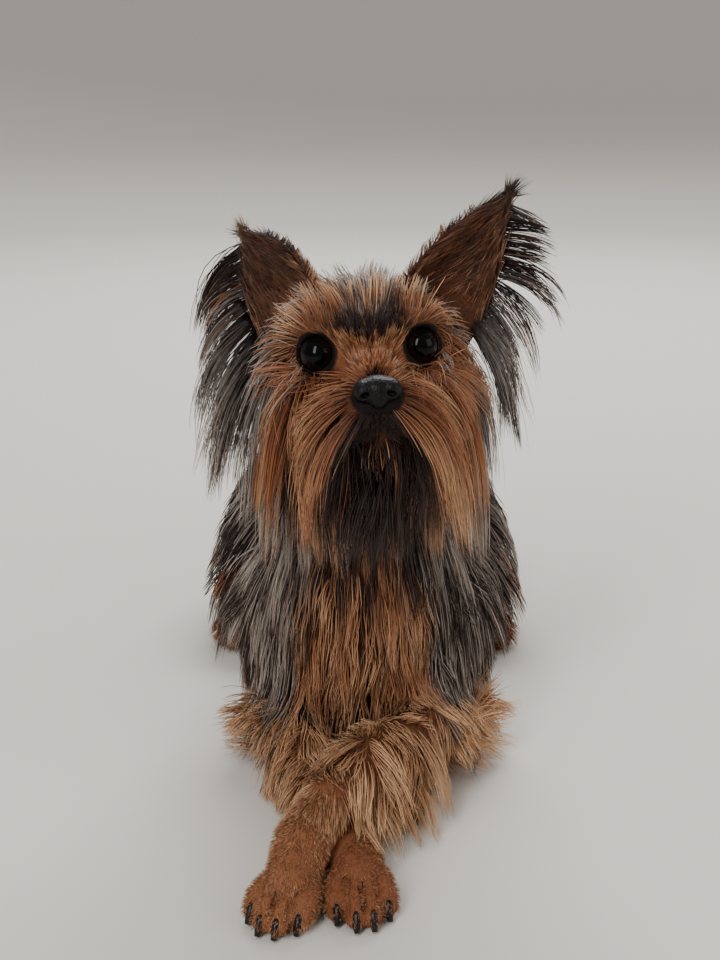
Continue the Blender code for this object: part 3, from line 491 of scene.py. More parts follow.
class Field:
    """Distances to the body's surface on a grid, less than nothing inside."""

    def __init__(self, axes: Sequence[Array]) -> None:
        """Starts empty, with the grid's places along X, Y and Z, which need not be evenly spaced."""
        self.axes = [np.asarray(axis, float) for axis in axes]
        self.values = np.full([len(axis) for axis in self.axes], FAR, np.float32)

    def block(self, form: Form, room: float) -> tuple[slice, ...]:
        """The part of the grid within a distance of a form's box."""
        low, high = form.box()
        return tuple(
            slice(int(np.searchsorted(axis, a - room)), int(np.searchsorted(axis, b + room)))
            for axis, a, b in zip(self.axes, low, high)
        )

    def distances(self, form: Form, block: tuple[slice, ...]) -> Array:
        """A form's distances over a block of the grid."""
        lines = [axis[part] for axis, part in zip(self.axes, block)]
        return form.distance(np.stack(np.meshgrid(*lines, indexing="ij"), axis=-1))

    def join(self, form: Form, melt: float) -> None:
        """Adds a form.

        Args:
            form: the form.
            melt: over about what distance it melts into what is there.
        """
        block = self.block(form, FAR * 0.75)
        new, old = self.distances(form, block), self.values[block]
        share = np.clip(0.5 + 0.5 * (old - new) / melt, 0, 1)
        self.values[block] = old * (1 - share) + new * share - melt * share * (1 - share)

    def carve(self, form: Form, melt: float) -> None:
        """Takes a form away.

        Args:
            form: the form.
            melt: over about what distance the edge is rounded.
        """
        block = self.block(form, 0.004)
        new, old = -self.distances(form, block), self.values[block]
        share = np.clip(0.5 - 0.5 * (old - new) / melt, 0, 1)
        self.values[block] = old * (1 - share) + new * share + melt * share * (1 - share)

    def sample(self, places: Array) -> Array:
        """The distance at each of some places.

        Args:
            places: where to measure.

        Returns:
            The distances, from the corners of the grid's cell about each place.
        """
        index, shares = [], []
        for i, axis in enumerate(self.axes):
            place = np.clip(places[..., i], axis[0], axis[-1])
            low = np.clip(np.searchsorted(axis, place, side="right") - 1, 0, len(axis) - 2)
            index.append(low)
            shares.append((place - axis[low]) / (axis[low + 1] - axis[low]))
        total = np.zeros(places.shape[:-1])
        for corner in range(8):
            step = [corner >> i & 1 for i in range(3)]
            weight = np.prod([s if up else 1 - s for s, up in zip(shares, step)], axis=0)
            total += weight * self.values[tuple(low + up for low, up in zip(index, step))]
        return total

    def outward(self, places: Array, step: float = 0.0012) -> Array:
        """The way out of the body at each of some places.

        Args:
            places: where to look.
            step: how far to both sides the distance is read.

        Returns:
            One unit direction a place.
        """
        slopes = []
        for i in range(3):
            offset = np.zeros(3)
            offset[i] = step
            slopes.append(self.sample(places + offset) - self.sample(places - offset))
        return unit(np.stack(slopes, axis=-1))

    def surface(self) -> tuple[Array, Array]:
        """The surface at distance nothing, by surface nets.

        Returns:
            Its corners, and its faces of four corners each, facing out.
        """
        inside = self.values < 0
        count = [n - 1 for n in inside.shape]
        corner = {}
        for k in range(8):
            step = (k >> 2 & 1, k >> 1 & 1, k & 1)
            corner[step] = inside[tuple(slice(s, s + n) for s, n in zip(step, count))]
        some = np.zeros(count, bool)
        every = np.ones(count, bool)
        for part in corner.values():
            some |= part
            every &= part
        mixed = some & ~every
        cells = np.argwhere(mixed)
        number = np.full(count, -1, np.int64)
        number[mixed] = np.arange(len(cells))
        total, crossings = np.zeros((len(cells), 3)), np.zeros(len(cells))
        for a in corner:
            for axis in range(3):
                if a[axis]:
                    continue
                b = tuple(1 if i == axis else s for i, s in enumerate(a))
                first, last = cells + a, cells + b
                low, high = self.values[tuple(first.T)], self.values[tuple(last.T)]
                cross = (low < 0) != (high < 0)
                share = np.where(cross, low / np.where(cross, low - high, 1), 0)
                start = np.stack([self.axes[i][first[:, i]] for i in range(3)], axis=-1)
                end = np.stack([self.axes[i][last[:, i]] for i in range(3)], axis=-1)
                total += np.where(cross[:, None], start + (end - start) * share[:, None], 0)
                crossings += cross
        places = total / crossings[:, None]
        faces = []
        for axis in range(3):
            one, two = [i for i in range(3) if i != axis]
            low = [slice(1, n) for n in count]
            low[axis] = slice(0, count[axis])
            high = list(low)
            high[axis] = slice(1, count[axis] + 1)
            first, last = inside[tuple(low)], inside[tuple(high)]
            edges = np.argwhere(first != last)
            leaving = first[tuple(edges.T)]
            base = edges.copy()
            base[:, one] += 1
            base[:, two] += 1
            ring = []
            for da, db in ((0, 0), (1, 0), (1, 1), (0, 1)):
                cell = base.copy()
                cell[:, one] -= da
                cell[:, two] -= db
                ring.append(number[tuple(cell.T)])
            quads = np.stack(ring, axis=-1)
            turned = leaving if axis == 1 else ~leaving
            faces.append(np.where(turned[:, None], quads[:, ::-1], quads))
        return places, np.vstack(faces)

    def drawn(self, step: float) -> tuple[Array, Array]:
        """The surface with its corners drawn on to it, which the grid's cells only come near.

        Args:
            step: how far to both sides the distance is read.

        Returns:
            Its corners and its faces.
        """
        corners, faces = self.surface()
        for _ in range(2):
            corners = corners - self.outward(corners, step) * self.sample(corners)[:, None]
        return corners, faces


def uneven(*spans: Triple) -> Array:
    """A line of places made of spans, each with its start, end and spacing."""
    places = [np.arange(start, end - spacing * 0.4, spacing) for start, end, spacing in spans]
    return np.concatenate([*places, [spans[-1][1]]])


# How the coat lies and is marked

class Zone(NamedTuple):
    """The coat about one place: its lie, its length and lift, and its marking.

    place and flow are for the dog's left and are mirrored to its right, unless the pelt says otherwise.
    length, reach and loft are in millimetres and lift is in degrees. loft is how far the coat stands off
    the skin. silver and dark say how much of the hair is steel grey and dark brown, and the rest is tan,
    the more blond the higher pale is. wave says how wavy it is.
    """

    place: Triple
    flow: Triple
    length: float
    lift: float
    reach: float
    loft: float = 3.0
    silver: float = 0.0
    dark: float = 0.0
    pale: float = 0.3
    wave: float = 0.0


@dataclass
class Lie:
    """The coat at each of some places."""

    flow: Array
    length: Array
    lift: Array
    loft: Array
    silver: Array
    dark: Array
    pale: Array
    wave: Array

    def silver_of_rest(self) -> Array:
        """The share of silver in the hair that is not dark."""
        return np.clip(self.silver / np.maximum(1 - self.dark, 0.05), 0, 1)


@dataclass(frozen=True)
class Pelt:
    """The zones of one part of the body, in the frame that they are given in."""

    zones: tuple[Zone, ...]
    frame: Matrix
    mirror: bool = True

    def at(self, places: Array) -> Lie:
        """The coat at some places, blended from the zones near them.

        Args:
            places: where on the body, in the frame of the whole dog.

        Returns:
            The lie there.
        """
        local = moved(self.frame.inverted(), places)
        sides = side_of(local) if self.mirror else np.ones(len(local))
        flip = np.stack([sides, np.ones(len(local)), np.ones(len(local))], axis=-1)
        total = np.zeros(len(local))
        flow, sums = np.zeros_like(local), np.zeros((7, len(local)))
        for zone in self.zones:
            gap = span_of(np.array(zone.place) * flip - local) * 1000 / zone.reach
            weight = np.exp(-gap * gap) + 1e-9
            flow += unit(np.array([zone.flow])) * flip * weight[:, None]
            numbers = (zone.length, zone.lift, zone.loft, zone.silver, zone.dark, zone.pale, zone.wave)
            sums += np.array(numbers)[:, None] * weight
            total += weight
        length, lift, loft, silver, dark, pale, wave = sums / total
        turn = matrix_of(self.frame)[:3, :3]
        flow = unit(flow @ turn.T)
        return Lie(flow, length / 1000, np.radians(lift), loft / 1000, silver, dark, pale, wave)


WORLD = Matrix.Identity(4)

HEAD_PELT = Pelt((
    # Bridge of the muzzle, where short tan hair fans up from the nose.
    Zone((0, -0.044, -0.0015), (0.1, 0.35, 0.95), 4, 12, 5, 0.6, pale=0.1),
    Zone((0.006, -0.043, -0.0045), (0.8, 0.25, 0.35), 6, 10, 4, 0.7, pale=0.15),
    Zone((0, -0.036, 0.002), (0.18, 0.5, 0.85), 7, 12, 5, 0.9, pale=0.1),
    Zone((0, -0.0304, 0.0045), (0.25, 0.4, 0.88), 4.6, 18, 3.4, 1, pale=0.34),
    Zone((0.009, -0.031, 0.004), (0.45, 0.4, 0.75), 8, 9, 4, 0.8, pale=0.2),
    # Forehead, dark between the brows and silver above them.
    Zone((0, -0.0288, 0.0088), (0.12, 0.45, 0.9), 5.5, 7, 3.6, 0.8, dark=1),
    Zone((0, -0.0272, 0.012), (0.1, 0.55, 0.85), 5.5, 5, 3.6, 0.8, dark=1),
    Zone((0.0068, -0.0276, 0.0104), (0.2, 0.5, 0.85), 6.5, 5, 3.6, 0.8, dark=1),
    Zone((0.0128, -0.0243, 0.015), (0.22, 0.62, 0.75), 16, 4, 4, 1.2, dark=0.1, pale=0.56),
    Zone((0.0185, -0.02, 0.016), (0.44, 0.7, 0.52), 19, 4, 6, 1.5, dark=0.06, pale=0.62),
    Zone((0.024, -0.015, 0.012), (0.6, 0.7, -0.2), 16, 5, 5, 1.4, dark=0.42, pale=0.36),
    Zone((0, -0.025, 0.015), (0.06, 0.75, 0.62), 13, 4, 3.8, 1.2, silver=0.6, pale=0.85),
    Zone((0, -0.0185, 0.0212), (0.06, 0.92, 0.38), 22, 4, 5, 2, silver=0.66, pale=0.9),
    Zone((0.011, -0.0185, 0.0205), (0.25, 0.75, 0.6), 24, 8, 5, 2.5, silver=0.25, pale=0.85),
    Zone((0, -0.002, 0.026), (0.06, 1, 0.02), 30, 9, 11, 6, silver=0.85, dark=0.02, pale=0.9),
    Zone((0.016, -0.002, 0.022), (0.35, 0.9, 0.05), 28, 9, 8, 4, silver=0.66, dark=0.14, pale=0.6),
    Zone((0, 0.02, 0.018), (0.15, 0.8, -0.5), 45, 9, 13, 5, silver=0.7, dark=0.28),
    Zone((0, 0.03, 0.004), (0.15, 0.45, -0.9), 55, 10, 14, 5, silver=0.62, dark=0.36),
    Zone((0.024, 0.014, 0.004), (0.22, 0.25, -0.95), 62, 12, 12, 8, silver=0.62, dark=0.36),
    # Temples and cheeks, falling straight from under the ears.
    Zone((0.029, -0.001, 0.008), (0.6, 0.05, -0.8), 66, 24, 9, 15, silver=0.66, dark=0.33),
    Zone((0.028, 0, -0.007), (0.5, 0.05, -0.9), 64, 20, 7, 15, silver=0.64, dark=0.35),
    Zone((0.025, -0.0135, -0.001), (0.14, 0, -1), 50, 6, 5, 3, silver=0.1, dark=0.12, pale=0.35),
    Zone((0.025, -0.019, 0.0035), (0.3, 0.1, -0.95), 36, 5, 4, 1.4, dark=0.16, pale=0.2),
    Zone((0.0165, -0.0265, -0.0045), (0.3, -0.05, -0.95), 34, 5, 5, 1.4, dark=0.04, pale=0.22),
    Zone((0.0225, -0.015, -0.013), (0.2, -0.06, -1), 60, 8, 7, 4, silver=0.16, dark=0.08, pale=0.58),
    # Moustache, parted at the nose and bushy at the sides of the muzzle.
    Zone((0.0095, -0.0385, -0.005), (0.92, 0.02, -0.45), 28, 10, 4, 2, pale=0.22),
    Zone((0.0115, -0.037, -0.0095), (0.95, -0.12, -0.4), 64, 24, 4.6, 9, silver=0.1, pale=0.68),
    Zone((0.0075, -0.0465, -0.011), (0.98, -0.12, -0.25), 50, 18, 4, 6, dark=0.06, pale=0.4),
    # Painted shade: dark hair low on the side of the muzzle, under the moustache.
    Zone((0.0118, -0.0375, -0.017), (0.45, -0.15, -0.95), 44, 12, 4.6, 5, dark=0.9, pale=0.1),
    Zone((0, -0.05, -0.0155), (0.3, -0.2, -1), 2.2, 3, 4, 0.2, dark=1),
    Zone((0, -0.0485, -0.019), (0.3, -0.2, -1), 2.2, 3, 3.4, 0.2, dark=1),
    Zone((0.0055, -0.0475, -0.0175), (0.6, -0.2, -0.8), 3.2, 4, 3, 0.3, dark=1),
    # Chin and beard: dark hair, partly the beard's own colour and partly painted shade under the moustache.
    Zone((0, -0.043, -0.0245), (0.1, -0.25, -1), 13, 8, 3.4, 2, dark=0.62, pale=0.3),
    Zone((0.006, -0.036, -0.0265), (0.04, -0.18, -1), 30, 10, 4, 3.5, dark=0.86, pale=0.1),
    Zone((0.01, -0.032, -0.024), (0.12, -0.12, -1), 46, 10, 6, 5, dark=0.96, pale=0),
    Zone((0.013, -0.016, -0.023), (0.06, -0.06, -1), 50, 8, 8, 4, dark=0.94),
    Zone((0, -0.01, -0.026), (0, -0.1, -1), 50, 8, 12, 4, dark=0.96),
), HEAD)

NECK_PELT = Pelt((
    # Painted shade: dark hair on the upper breast, under the beard.
    Zone((0, -0.088, 0.098), (0.02, -0.22, -1), 46, 10, 18, 4, dark=0.66, pale=0.4, wave=0.5),
    Zone((0, -0.088, 0.076), (0.1, -0.22, -1), 46, 9, 17, 4, silver=0.03, dark=0.3, pale=0.62, wave=0.9),
    Zone((0.026, -0.064, 0.102), (0.18, 0.02, -1), 58, 9, 17, 7, silver=0.56, dark=0.43, wave=0.2),
    Zone((0, -0.034, 0.108), (0.45, 0.55, -0.85), 46, 9, 20, 4, silver=0.6, dark=0.39),
), WORLD)

TORSO_PELT = Pelt((
    # The chest's hair parts down its middle and sweeps out to the elbows.
    Zone((0, -0.09, 0.062), (0.22, -0.22, -1), 44, 10, 12, 4, dark=0.12, pale=0.72, wave=1),
    Zone((0.014, -0.087, 0.054), (0.48, -0.2, -0.9), 48, 9, 10, 4, silver=0.08, dark=0.1, pale=0.72, wave=1),
    # Painted shade: dark hair in the hollow low on the breast, between the forelegs.
    Zone((0.002, -0.09, 0.034), (0.35, -0.2, -1), 18, 7, 8, 1.2, dark=0.8, pale=0.2, wave=0.4),
    Zone((0.03, -0.074, 0.054), (0.06, -0.12, -1), 46, 8, 13, 3.5, silver=0.5, dark=0.49, wave=0.4),
    Zone((0, -0.03, 0.088), (0.15, 0.95, -0.08), 42, 6, 22, 3, silver=0.52, dark=0.46),
    Zone((0.018, -0.03, 0.082), (0.8, 0.5, -0.45), 46, 6, 12, 3, silver=0.54, dark=0.44),
    Zone((0.036, -0.03, 0.056), (0.02, 0.22, -1), 48, 6, 24, 3.5, silver=0.56, dark=0.42),
    Zone((0, 0.035, 0.083), (0.14, 0.95, -0.05), 44, 6, 22, 3, silver=0.46, dark=0.53),
    Zone((0.018, 0.035, 0.076), (0.8, 0.5, -0.45), 48, 6, 12, 3, silver=0.48, dark=0.51),
    Zone((0.034, 0.03, 0.05), (0.03, 0.22, -1), 50, 6, 24, 3.5, silver=0.5, dark=0.49),
    Zone((0, 0.088, 0.076), (0.18, 0.92, -0.3), 44, 7, 22, 3, silver=0.46, dark=0.53),
    Zone((0.034, 0.088, 0.048), (0.08, 0.4, -1), 40, 6, 26, 3, silver=0.5, dark=0.48),
    Zone((0, 0.118, 0.045), (0.1, 0.3, -1), 36, 10, 22, 3.5, silver=0.46, dark=0.46),
), WORLD)


def toe_gap_shade(side: int) -> list[Zone]:
    """Painted shade between the toes of a forepaw: dark fur along each gap.

    Args:
        side: the side.

    Returns:
        Small zones along each line.
    """
    paw = paw_frame(*FORE_PAWS[side])
    zones = []
    for across in (-1.0, 0.0, 1.0):
        for along in (-0.015, -0.0115, -0.008):
            spot = paw @ Vector((across * TOE_SPREAD * 1.08, along, 0.0))
            spot.z = TOE_RADIUS + 0.0014 + (along + 0.008) * 0.35
            zones.append(Zone(tuple(spot), (-0.1 * side, -1.0, -0.35), 1.8, 2, 1.4, 0.0, dark=1.0))
    return zones


def upper_arm(side: int) -> list[Zone]:
    """The coat from the shoulder to the elbow, which is the body's and ends there."""
    return [
        Zone((side * 0.03, -0.052, 0.052), (side * 0.06, -0.05, -1), 34, 7, 13, 3,
             silver=0.48, dark=0.5, wave=0.3),
        Zone((side * 0.032, -0.058, 0.034), (side * 0.12, -0.15, -1), 26, 8, 10, 2.5,
             silver=0.48, dark=0.34, pale=0.5, wave=0.4),
    ]


FORELEG_PELTS = {
    1: Pelt((
        *upper_arm(1),
        Zone((0.03, -0.076, 0.024), (0.8, -0.55, 0.12), 26, 14, 8, 4, pale=0.74, wave=0.7),
        Zone((0.038, -0.066, 0.016), (0.88, -0.24, 0.24), 25, 16, 7, 4, pale=0.8, wave=0.6),
        # The forearm's top lies smooth, and long feathering hangs from its outer side. Its blond is partly
        # the hair's own and partly painted light on the lit top of the forearm.
        Zone((0.02, -0.084, 0.027), (-0.25, -0.95, -0.05), 15, 6, 8, 1, pale=0.78, wave=0.2),
        Zone((0.006, -0.108, 0.031), (0.05, -0.98, -0.1), 18, 6, 7, 1.2, pale=0.82, wave=0.3),
        Zone((0.015, -0.102, 0.021), (0.28, -0.85, -0.45), 36, 9, 7, 2.5, pale=0.92, wave=0.7),
        Zone((0.003, -0.124, 0.022), (0.3, -0.88, -0.38), 31, 10, 7, 2.5, pale=0.92, wave=0.7),
        Zone((-0.008, -0.13, 0.031), (0.05, -0.98, -0.2), 20, 7, 7, 1.2, pale=0.84, wave=0.5),
        Zone((-0.015, -0.143, 0.025), (-0.08, -0.95, -0.3), 9, 4, 7, 0.5, pale=0.58, wave=0.2),
        Zone((-0.02, -0.156, 0.018), (-0.2, -1, -0.35), 4, 3, 6, 0.2, pale=0.46),
        Zone((-0.024, -0.168, 0.01), (-0.3, -1, -0.35), 2.4, 2, 9, 0.1, dark=0.02, pale=0.42),
        *toe_gap_shade(1),
    ), WORLD, False),
    -1: Pelt((
        *upper_arm(-1),
        Zone((-0.038, -0.068, 0.015), (-0.92, -0.3, 0.3), 25, 20, 7, 4, pale=1, wave=0.6),
        Zone((-0.024, -0.086, 0.018), (-0.1, -0.98, -0.15), 24, 8, 8, 1.6, pale=0.8, wave=0.6),
        Zone((-0.022, -0.108, 0.012), (-0.12, -0.98, -0.1), 20, 8, 8, 1.6, pale=0.78, wave=0.6),
        Zone((-0.011, -0.132, 0.012), (0.1, -0.98, -0.1), 9, 5, 8, 0.6, pale=0.42, wave=0.3),
        Zone((-0.005, -0.15, 0.014), (0.15, -0.95, -0.25), 4, 4, 7, 0.3, pale=0.32),
        Zone((-0.003, -0.162, 0.009), (0.1, -1, -0.35), 2.2, 2, 9, 0.1, dark=0.04, pale=0.24),
        *toe_gap_shade(-1),
    ), WORLD, False),
}

HINDLEG_PELT = Pelt((
    Zone((0.04, 0.066, 0.048), (0.06, 0.35, -1), 34, 6, 22, 2.2, silver=0.52, dark=0.46),
    Zone((0.05, 0.045, 0.025), (0.1, 0.1, -1), 22, 7, 16, 1.6, silver=0.42, dark=0.4, pale=0.4, wave=0.3),
    Zone((0.048, 0.085, 0.014), (0.3, 0.9, -0.2), 18, 8, 15, 1.6, silver=0.1, dark=0.15, pale=0.5, wave=0.6),
    Zone((0.053, 0.038, 0.008), (0.1, -1, -0.3), 4, 6, 10, 0.4, dark=0.05, pale=0.25),
), WORLD)

TAIL_PELT = Pelt((
    Zone((0, 0.112, 0.07), (0.45, 0.9, -0.3), 34, 12, 16, 3, silver=0.35, dark=0.62),
    Zone((0, 0.16, 0.045), (0.25, 0.9, -0.9), 40, 14, 22, 3, silver=0.2, dark=0.76),
), WORLD)

PELTS = {
    Part.TORSO: TORSO_PELT, Part.NECK: NECK_PELT, Part.HEAD: HEAD_PELT, Part.FORELEG_LEFT: FORELEG_PELTS[1],
    Part.FORELEG_RIGHT: FORELEG_PELTS[-1], Part.HINDLEG: HINDLEG_PELT, Part.TAIL: TAIL_PELT,
}

# The ears' coat, in the head's frame: short on the cup, with a dark fringe at the rim and below it.
EAR_PELTS = {
    1: Pelt((
        Zone((0.03, -0.01, 0.028), (0.45, -0.15, 0.85), 9, 8, 7, 0.8, dark=0.42, pale=0.3),
        Zone((0.04, -0.008, 0.04), (0.6, -0.1, 0.75), 8, 8, 9, 0.8, dark=0.62, pale=0.1),
        Zone((0.045, -0.004, 0.03), (0.9, 0.1, -0.1), 40, 25, 9, 3, silver=0.34, dark=0.6),
        Zone((0.04, -0.004, 0.016), (0.55, 0, -0.8), 52, 20, 9, 3, silver=0.55, dark=0.42),
        Zone((0.053, -0.001, 0.052), (0.8, 0.1, 0.05), 26, 20, 8, 2, silver=0.08, dark=0.88),
    ), HEAD, False),
    -1: Pelt((
        Zone((-0.027, -0.006, 0.028), (-0.35, 0.3, 0.85), 10, 8, 7, 0.8, dark=0.55, pale=0.3),
        Zone((-0.036, 0.01, 0.04), (-0.6, 0.2, 0.6), 9, 8, 9, 0.8, dark=0.72, pale=0.1),
        Zone((-0.042, 0.018, 0.052), (-0.95, -0.15, 0.2), 56, 25, 10, 3, silver=0.3, dark=0.66),
        Zone((-0.042, 0.006, 0.034), (-0.92, -0.2, -0.15), 62, 25, 9, 3, silver=0.4, dark=0.56),
        Zone((-0.036, -0.002, 0.018), (-0.55, -0.15, -0.8), 64, 18, 9, 3, silver=0.52, dark=0.44),
    ), HEAD, False),
}


# Materials

@dataclass(frozen=True)
class NodeMaker:
    """Adds nodes to one material."""

    tree: NodeTree

    def add(self, kind: str, settings: dict | None = None, inputs: dict | None = None) -> Node:
        """Adds a node with its settings and what goes into it.

        Args:
            kind: the node's type name.
            settings: values of its own fields.
            inputs: for each input, by name or number, a value or the output socket that feeds it.

        Returns:
            The node.
        """
        node = self.tree.nodes.new(kind)
        for name, value in (settings or {}).items():
            setattr(node, name, value)
        for name, value in (inputs or {}).items():
            if isinstance(value, NodeSocket):
                self.tree.links.new(value, node.inputs[name])
            else:
                node.inputs[name].default_value = value
        return node


def new_material(name: str) -> tuple[Material, NodeMaker]:
    """Makes a material with an empty node tree.

    Args:
        name: the material's name.

    Returns:
        The material, and what adds nodes to it.
    """
    material = bpy.data.materials.new(name)
    material.use_nodes = True
    material.node_tree.nodes.clear()
    return material, NodeMaker(material.node_tree)


def set_ramp(node: Node, stops: Stops) -> Node:
    """Gives a colour ramp its stops.

    Args:
        node: the colour ramp.
        stops: the place and the hex colour of each.

    Returns:
        The colour ramp.
    """
    ramp = node.color_ramp
    while len(ramp.elements) < len(stops):
        ramp.elements.new(0.5)
    for element, (place, colour) in zip(ramp.elements, stops):
        element.position = place
        element.color = linear(colour)
    return node


@dataclass(frozen=True)
class Markings:
    """The terrier's colours, each from the root of a hair to its tip. They darken towards the root, partly
    as the hair's own colour and partly as painted shade deep in the coat.
    """

    tan: Stops = ((0.0, "#391d13"), (0.45, "#77422a"), (1.0, "#9e633f"))
    blond: Stops = ((0.0, "#55331f"), (0.4, "#a6714e"), (1.0, "#deb58c"))
    silver: Stops = ((0.0, "#3a3332"), (0.45, "#7b7069"), (1.0, "#b5a89d"))
    dark: Stops = ((0.0, "#110a09"), (0.45, "#241815"), (1.0, "#3a2a25"))

    def ramp(self, make: NodeMaker, stops: Stops) -> NodeSocket:
        """One colour of the coat, from root to tip."""
        along = make.add("ShaderNodeAttribute", {"attribute_name": "along"}).outputs["Fac"]
        return set_ramp(make.add("ShaderNodeValToRGB", inputs={0: along}), stops).outputs["Color"]

    def colour(self, make: NodeMaker) -> NodeSocket:
        """The colour of the coat where it is drawn.

        Args:
            make: what adds nodes to the material.

        Returns:
            The socket that carries the colour.
        """
        colour = self.ramp(make, self.tan)
        for name, stops in (("pale", self.blond), ("silver", self.silver), ("dark", self.dark)):
            share = make.add("ShaderNodeAttribute", {"attribute_name": name})
            mix = make.add("ShaderNodeMix", {"data_type": "RGBA"}, {
                0: share.outputs["Fac"], 6: colour, 7: self.ramp(make, stops),
            })
            colour = mix.outputs[2]
        shade = make.add("ShaderNodeAttribute", {"attribute_name": "shade"})
        scaled = make.add("ShaderNodeMapRange", inputs={0: shade.outputs["Fac"], 3: 0.62, 4: 1.42})
        return make.add("ShaderNodeHueSaturation", inputs={
            "Value": scaled.outputs[0], "Color": colour,
        }).outputs["Color"]


@dataclass(frozen=True)
class HairFinish:
    """Silky dog hair, combed: smooth keratin that gives a long soft gleam along each strand."""

    markings: Markings = field(default_factory=Markings)
    ior: float = 1.55
    roughness: float = 0.38
    specular: float = 0.24

    def material(self) -> Material:
        """Makes the finish.

        Returns:
            The material of the coat.
        """
        material, make = new_material("silky_hair")
        # The gleam is what makes strands of one colour read as many.
        shader = make.add("ShaderNodeBsdfPrincipled", inputs={
            "Base Color": self.markings.colour(make), "Roughness": self.roughness, "IOR": self.ior,
            "Specular IOR Level": self.specular,
        })
        make.add("ShaderNodeOutputMaterial", inputs={"Surface": shader.outputs[0]})
        return material


@dataclass(frozen=True)
class SkinFinish:
    """Skin under short flat fur: dull, and streaked along by hairs about 0.3 mm wide."""

    markings: Markings = field(default_factory=Markings)
    hair_width_mm: float = 0.3

    def material(self) -> Material:
        """Makes the finish.

        Returns:
            The material of the skin and the ears.
        """
        material, make = new_material("short_furred_skin")
        place = make.add("ShaderNodeTexCoord")
        # One noise cell is about two hairs wide, and it is drawn longer than wide.
        streaks = make.add("ShaderNodeMapping", inputs={
            "Vector": place.outputs["Object"], "Scale": (1.0, 0.35, 0.6),
        })
        grain = make.add("ShaderNodeTexNoise", inputs={
            "Vector": streaks.outputs[0], "Scale": 1000 / (self.hair_width_mm * 2), "Detail": 3.0,
        })
        bump = make.add("ShaderNodeBump", inputs={
            "Strength": 0.6, "Distance": 0.0004, "Height": grain.outputs[0],
        })
        # The hairs' shadows darken the colour in the same streaks.
        tone = make.add("ShaderNodeMapRange", inputs={
            0: grain.outputs[0], 1: 0.3, 2: 0.7, 3: 0.75, 4: 1.15,
        })
        colour = make.add("ShaderNodeHueSaturation", inputs={
            "Value": tone.outputs[0], "Color": self.markings.colour(make),
        })
        shader = make.add("ShaderNodeBsdfPrincipled", inputs={
            "Base Color": colour.outputs[0], "Roughness": 0.7, "IOR": 1.45, "Specular IOR Level": 0.15,
            "Normal": bump.outputs[0],
        })
        make.add("ShaderNodeOutputMaterial", inputs={"Surface": shader.outputs[0]})
        return material


@dataclass(frozen=True)
class LeatherFinish:
    """Nose leather: black, moist and pebbled, so it glints in points."""

    colour: str = "#0a0708"
    pebble_mm: float = 0.7

    def material(self) -> Material:
        """Makes the finish.

        Returns:
            The material of the nose.
        """
        material, make = new_material("nose_leather")
        place = make.add("ShaderNodeTexCoord")
        pebbles = make.add("ShaderNodeTexVoronoi", {"feature": "SMOOTH_F1"}, {
            "Vector": place.outputs["Object"], "Scale": 1000 / self.pebble_mm, "Smoothness": 0.3,
        })
        bump = make.add("ShaderNodeBump", {"invert": True}, {
            "Strength": 0.55, "Distance": 0.00025, "Height": pebbles.outputs["Distance"],
        })
        worn = make.add("ShaderNodeMapRange", inputs={0: pebbles.outputs["Distance"], 3: 0.3, 4: 0.48})
        shader = make.add("ShaderNodeBsdfPrincipled", inputs={
            "Base Color": linear(self.colour), "Roughness": worn.outputs[0], "IOR": 1.4,
            "Specular IOR Level": 0.28, "Normal": bump.outputs[0],
        })
        make.add("ShaderNodeOutputMaterial", inputs={"Surface": shader.outputs[0]})
        return material


@dataclass(frozen=True)
class EyeFinish:
    """A wet dark-brown eye: a pupil and iris under a clear cornea that mirrors the lights."""

    pupil: str = "#020202"
    iris: str = "#160a06"
    rim: str = "#080504"

    def material(self) -> Material:
        """Makes the finish.

        Returns:
            The material of the eyes.
        """
        material, make = new_material("wet_eye")
        front = make.add("ShaderNodeAttribute", {"attribute_name": "front"})
        bands = set_ramp(
            make.add("ShaderNodeValToRGB", inputs={0: front.outputs["Fac"]}),
            ((0.0, self.rim), (0.42, self.rim), (0.55, self.iris), (0.8, self.iris), (0.86, self.pupil)),
        )
        shader = make.add("ShaderNodeBsdfPrincipled", inputs={
            "Base Color": bands.outputs[0], "Roughness": 0.05, "IOR": 1.376, "Specular IOR Level": 0.2,
        })
        make.add("ShaderNodeOutputMaterial", inputs={"Surface": shader.outputs[0]})
        return material


@dataclass(frozen=True)
class HornFinish:
    """Black claw horn: hard and worn smooth, with faint growth rings."""

    colour: str = "#0b0808"
    rings_per_mm: float = 0.9

    def material(self) -> Material:
        """Makes the finish.

        Returns:
            The material of the claws.
        """
        material, make = new_material("claw_horn")
        place = make.add("ShaderNodeTexCoord")
        rings = make.add("ShaderNodeTexNoise", inputs={
            "Vector": place.outputs["Object"], "Scale": 1000 * self.rings_per_mm,
        })
        worn = make.add("ShaderNodeMapRange", inputs={0: rings.outputs[0], 3: 0.25, 4: 0.45})
        shader = make.add("ShaderNodeBsdfPrincipled", inputs={
            "Base Color": linear(self.colour), "Roughness": worn.outputs[0], "IOR": 1.54,
            "Specular IOR Level": 0.3,
        })
        make.add("ShaderNodeOutputMaterial", inputs={"Surface": shader.outputs[0]})
        return material


# The skin and what is set in it

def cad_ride(obj: Object, slot: str, *nodes: str) -> None:
    """Makes a piece move with the dog.

    Args:
        obj: the piece.
        slot: not used.
        nodes: the nodes that it stands for, which it hides.
    """
    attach(obj, "root")
    if nodes:
        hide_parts(*nodes)


